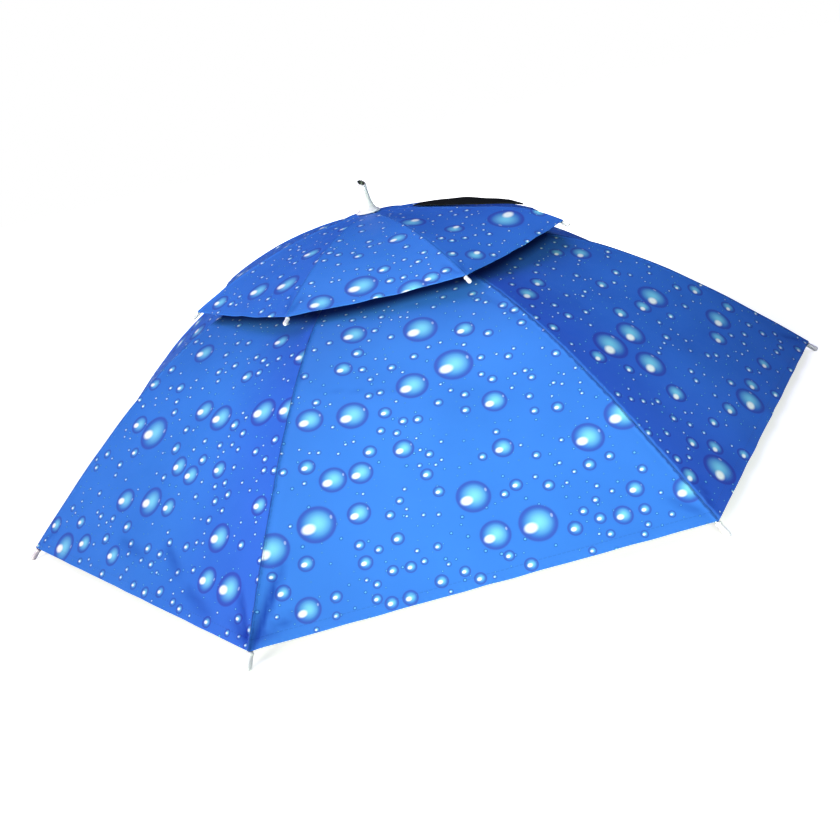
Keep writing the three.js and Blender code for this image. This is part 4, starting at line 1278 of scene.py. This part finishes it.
# the floor glows to white away from the hat, only where the camera sees it
floorMaterial, tree, shader = newMaterial("paleFloor", stageLook["specular"])
shader.inputs["Base Color"].default_value = stageLook["floor"]
shader.inputs["Roughness"].default_value = stageLook["roughness"]
shader.inputs["Emission Color"].default_value = (1, 1, 1, 1)
away = vectorCalc(tree, "LENGTH", addNode(tree, "ShaderNodeTexCoord").outputs["Object"], output=1)
glow = mapRange(tree, away, *(stageLook[key] for key in ("near", "far", "glowNear", "glowFar")))
onlySeen = addNode(tree, "ShaderNodeLightPath").outputs["Is Camera Ray"]
tree.links.new(times(tree, glow, onlySeen), shader.inputs["Emission Strength"])
floorPlaces = stageLook["reach"] * np.array([(-1, -1, 0), (1, -1, 0), (1, 1, 0), (-1, 1, 0)])
floorPiece = addMesh("pale_floor", floorPlaces, np.array([[0, 1, 2, 3]]), [floorMaterial])

world = bpy.data.worlds.new("studio")
bpy.context.scene.world = world
world.use_nodes = True
tree = world.node_tree
tree.nodes.clear()
lightOnly = addNode(tree, "ShaderNodeBackground")
lightOnly.inputs[0].default_value = stageLook["world"]
lightOnly.inputs[1].default_value = stageLook["worldStrength"]
seen = addNode(tree, "ShaderNodeBackground")
seen.inputs[0].default_value = (1, 1, 1, 1)
seen.inputs[1].default_value = 1.0
both = addNode(tree, "ShaderNodeMixShader")
tree.links.new(addNode(tree, "ShaderNodeLightPath").outputs["Is Camera Ray"], both.inputs[0])
tree.links.new(lightOnly.outputs[0], both.inputs[1])
tree.links.new(seen.outputs[0], both.inputs[2])
tree.links.new(both.outputs[0], addNode(tree, "ShaderNodeOutputWorld").inputs[0])

# soft boxes: name, place, what they point at, width, height, power in watts, colour
softBoxes = [
    ("keyLeft", (-1.92, -1.5, 0.6), (0, 0, 0.1), 0.9, 0.9, 50, (1.0, 1.0, 0.78)),
    ("topBox", (-0.4, 0.1, 2.4), (0, 0, 0.1), 1.6, 1.6, 34, (0.6, 0.62, 1.0)),
    ("backFill", (-0.94, 2.32, 0.45), (0, 0, 0.1), 0.9, 0.9, 16, (0.85, 0.92, 1.0)),
]
# a soft spot on the front panel, its cone in degrees
frontSpot = {"place": (0.1, -2.3, 0.36), "target": (0.045, -0.27, 0.07), "power": 660, "cone": 12.0,
             "size": 0.25, "colour": (0.74, 1.0, 0.72)}


# an object's matrix from its three directions and its place
def placed(right, up, back, place):
    return Matrix([[right[k], up[k], back[k], place[k]] for k in range(3)] + [[0, 0, 0, 1]])


# a lamp that looks back along its own Z, from its place to its target
def aim(place, target):
    back = np.array(place, float) - np.array(target, float)
    back /= np.linalg.norm(back)
    right = np.cross([0.0, 0.0, 1.0], back)
    right /= np.linalg.norm(right)
    return placed(right, np.cross(back, right), back, place)


def addLamp(name, lamp, power, colour, place, target):
    lamp.energy = power
    lamp.color = colour
    holder = bpy.data.objects.new(name, lamp)
    holder.matrix_world = aim(place, target)
    bpy.context.scene.collection.objects.link(holder)
    return holder


for name, place, target, width, height, power, colour in softBoxes:
    lamp = bpy.data.lights.new(name, "AREA")
    lamp.shape = "RECTANGLE"
    lamp.size, lamp.size_y = width, height
    holder = addLamp(name, lamp, power, colour, place, target)
    holder.visible_glossy = name != "backFill"  # it lies low, and would streak along the hem

lamp = bpy.data.lights.new("frontSpot", "SPOT")
lamp.spot_size = math.radians(frontSpot["cone"])
lamp.spot_blend = 1.0
lamp.shadow_soft_size = frontSpot["size"]
addLamp("frontSpot", lamp, *(frontSpot[key] for key in ("power", "colour", "place", "target")))

cameraLook = {
    "place": (-0.030414, -0.675089, 0.267963), "lens": 28.31, "sensor": 36.0,
    "right": (0.965693, -0.142544, -0.217068), "up": (0.256020, 0.382627, 0.887722),
    "back": (-0.043483, -0.912840, 0.405995), "shiftX": -0.0014,
}
lens = bpy.data.cameras.new("viewer")
lens.lens = cameraLook["lens"]
lens.sensor_width = cameraLook["sensor"]
lens.shift_x = cameraLook["shiftX"]
lens.clip_start = 0.01
lens.clip_end = 200
viewer = bpy.data.objects.new("viewer", lens)
viewer.matrix_world = placed(*(cameraLook[key] for key in ("right", "up", "back", "place")))
bpy.context.scene.collection.objects.link(viewer)
bpy.context.scene.camera = viewer
bpy.context.scene.view_settings.view_transform = "Standard"
print("stage: the floor, lights and camera are set")
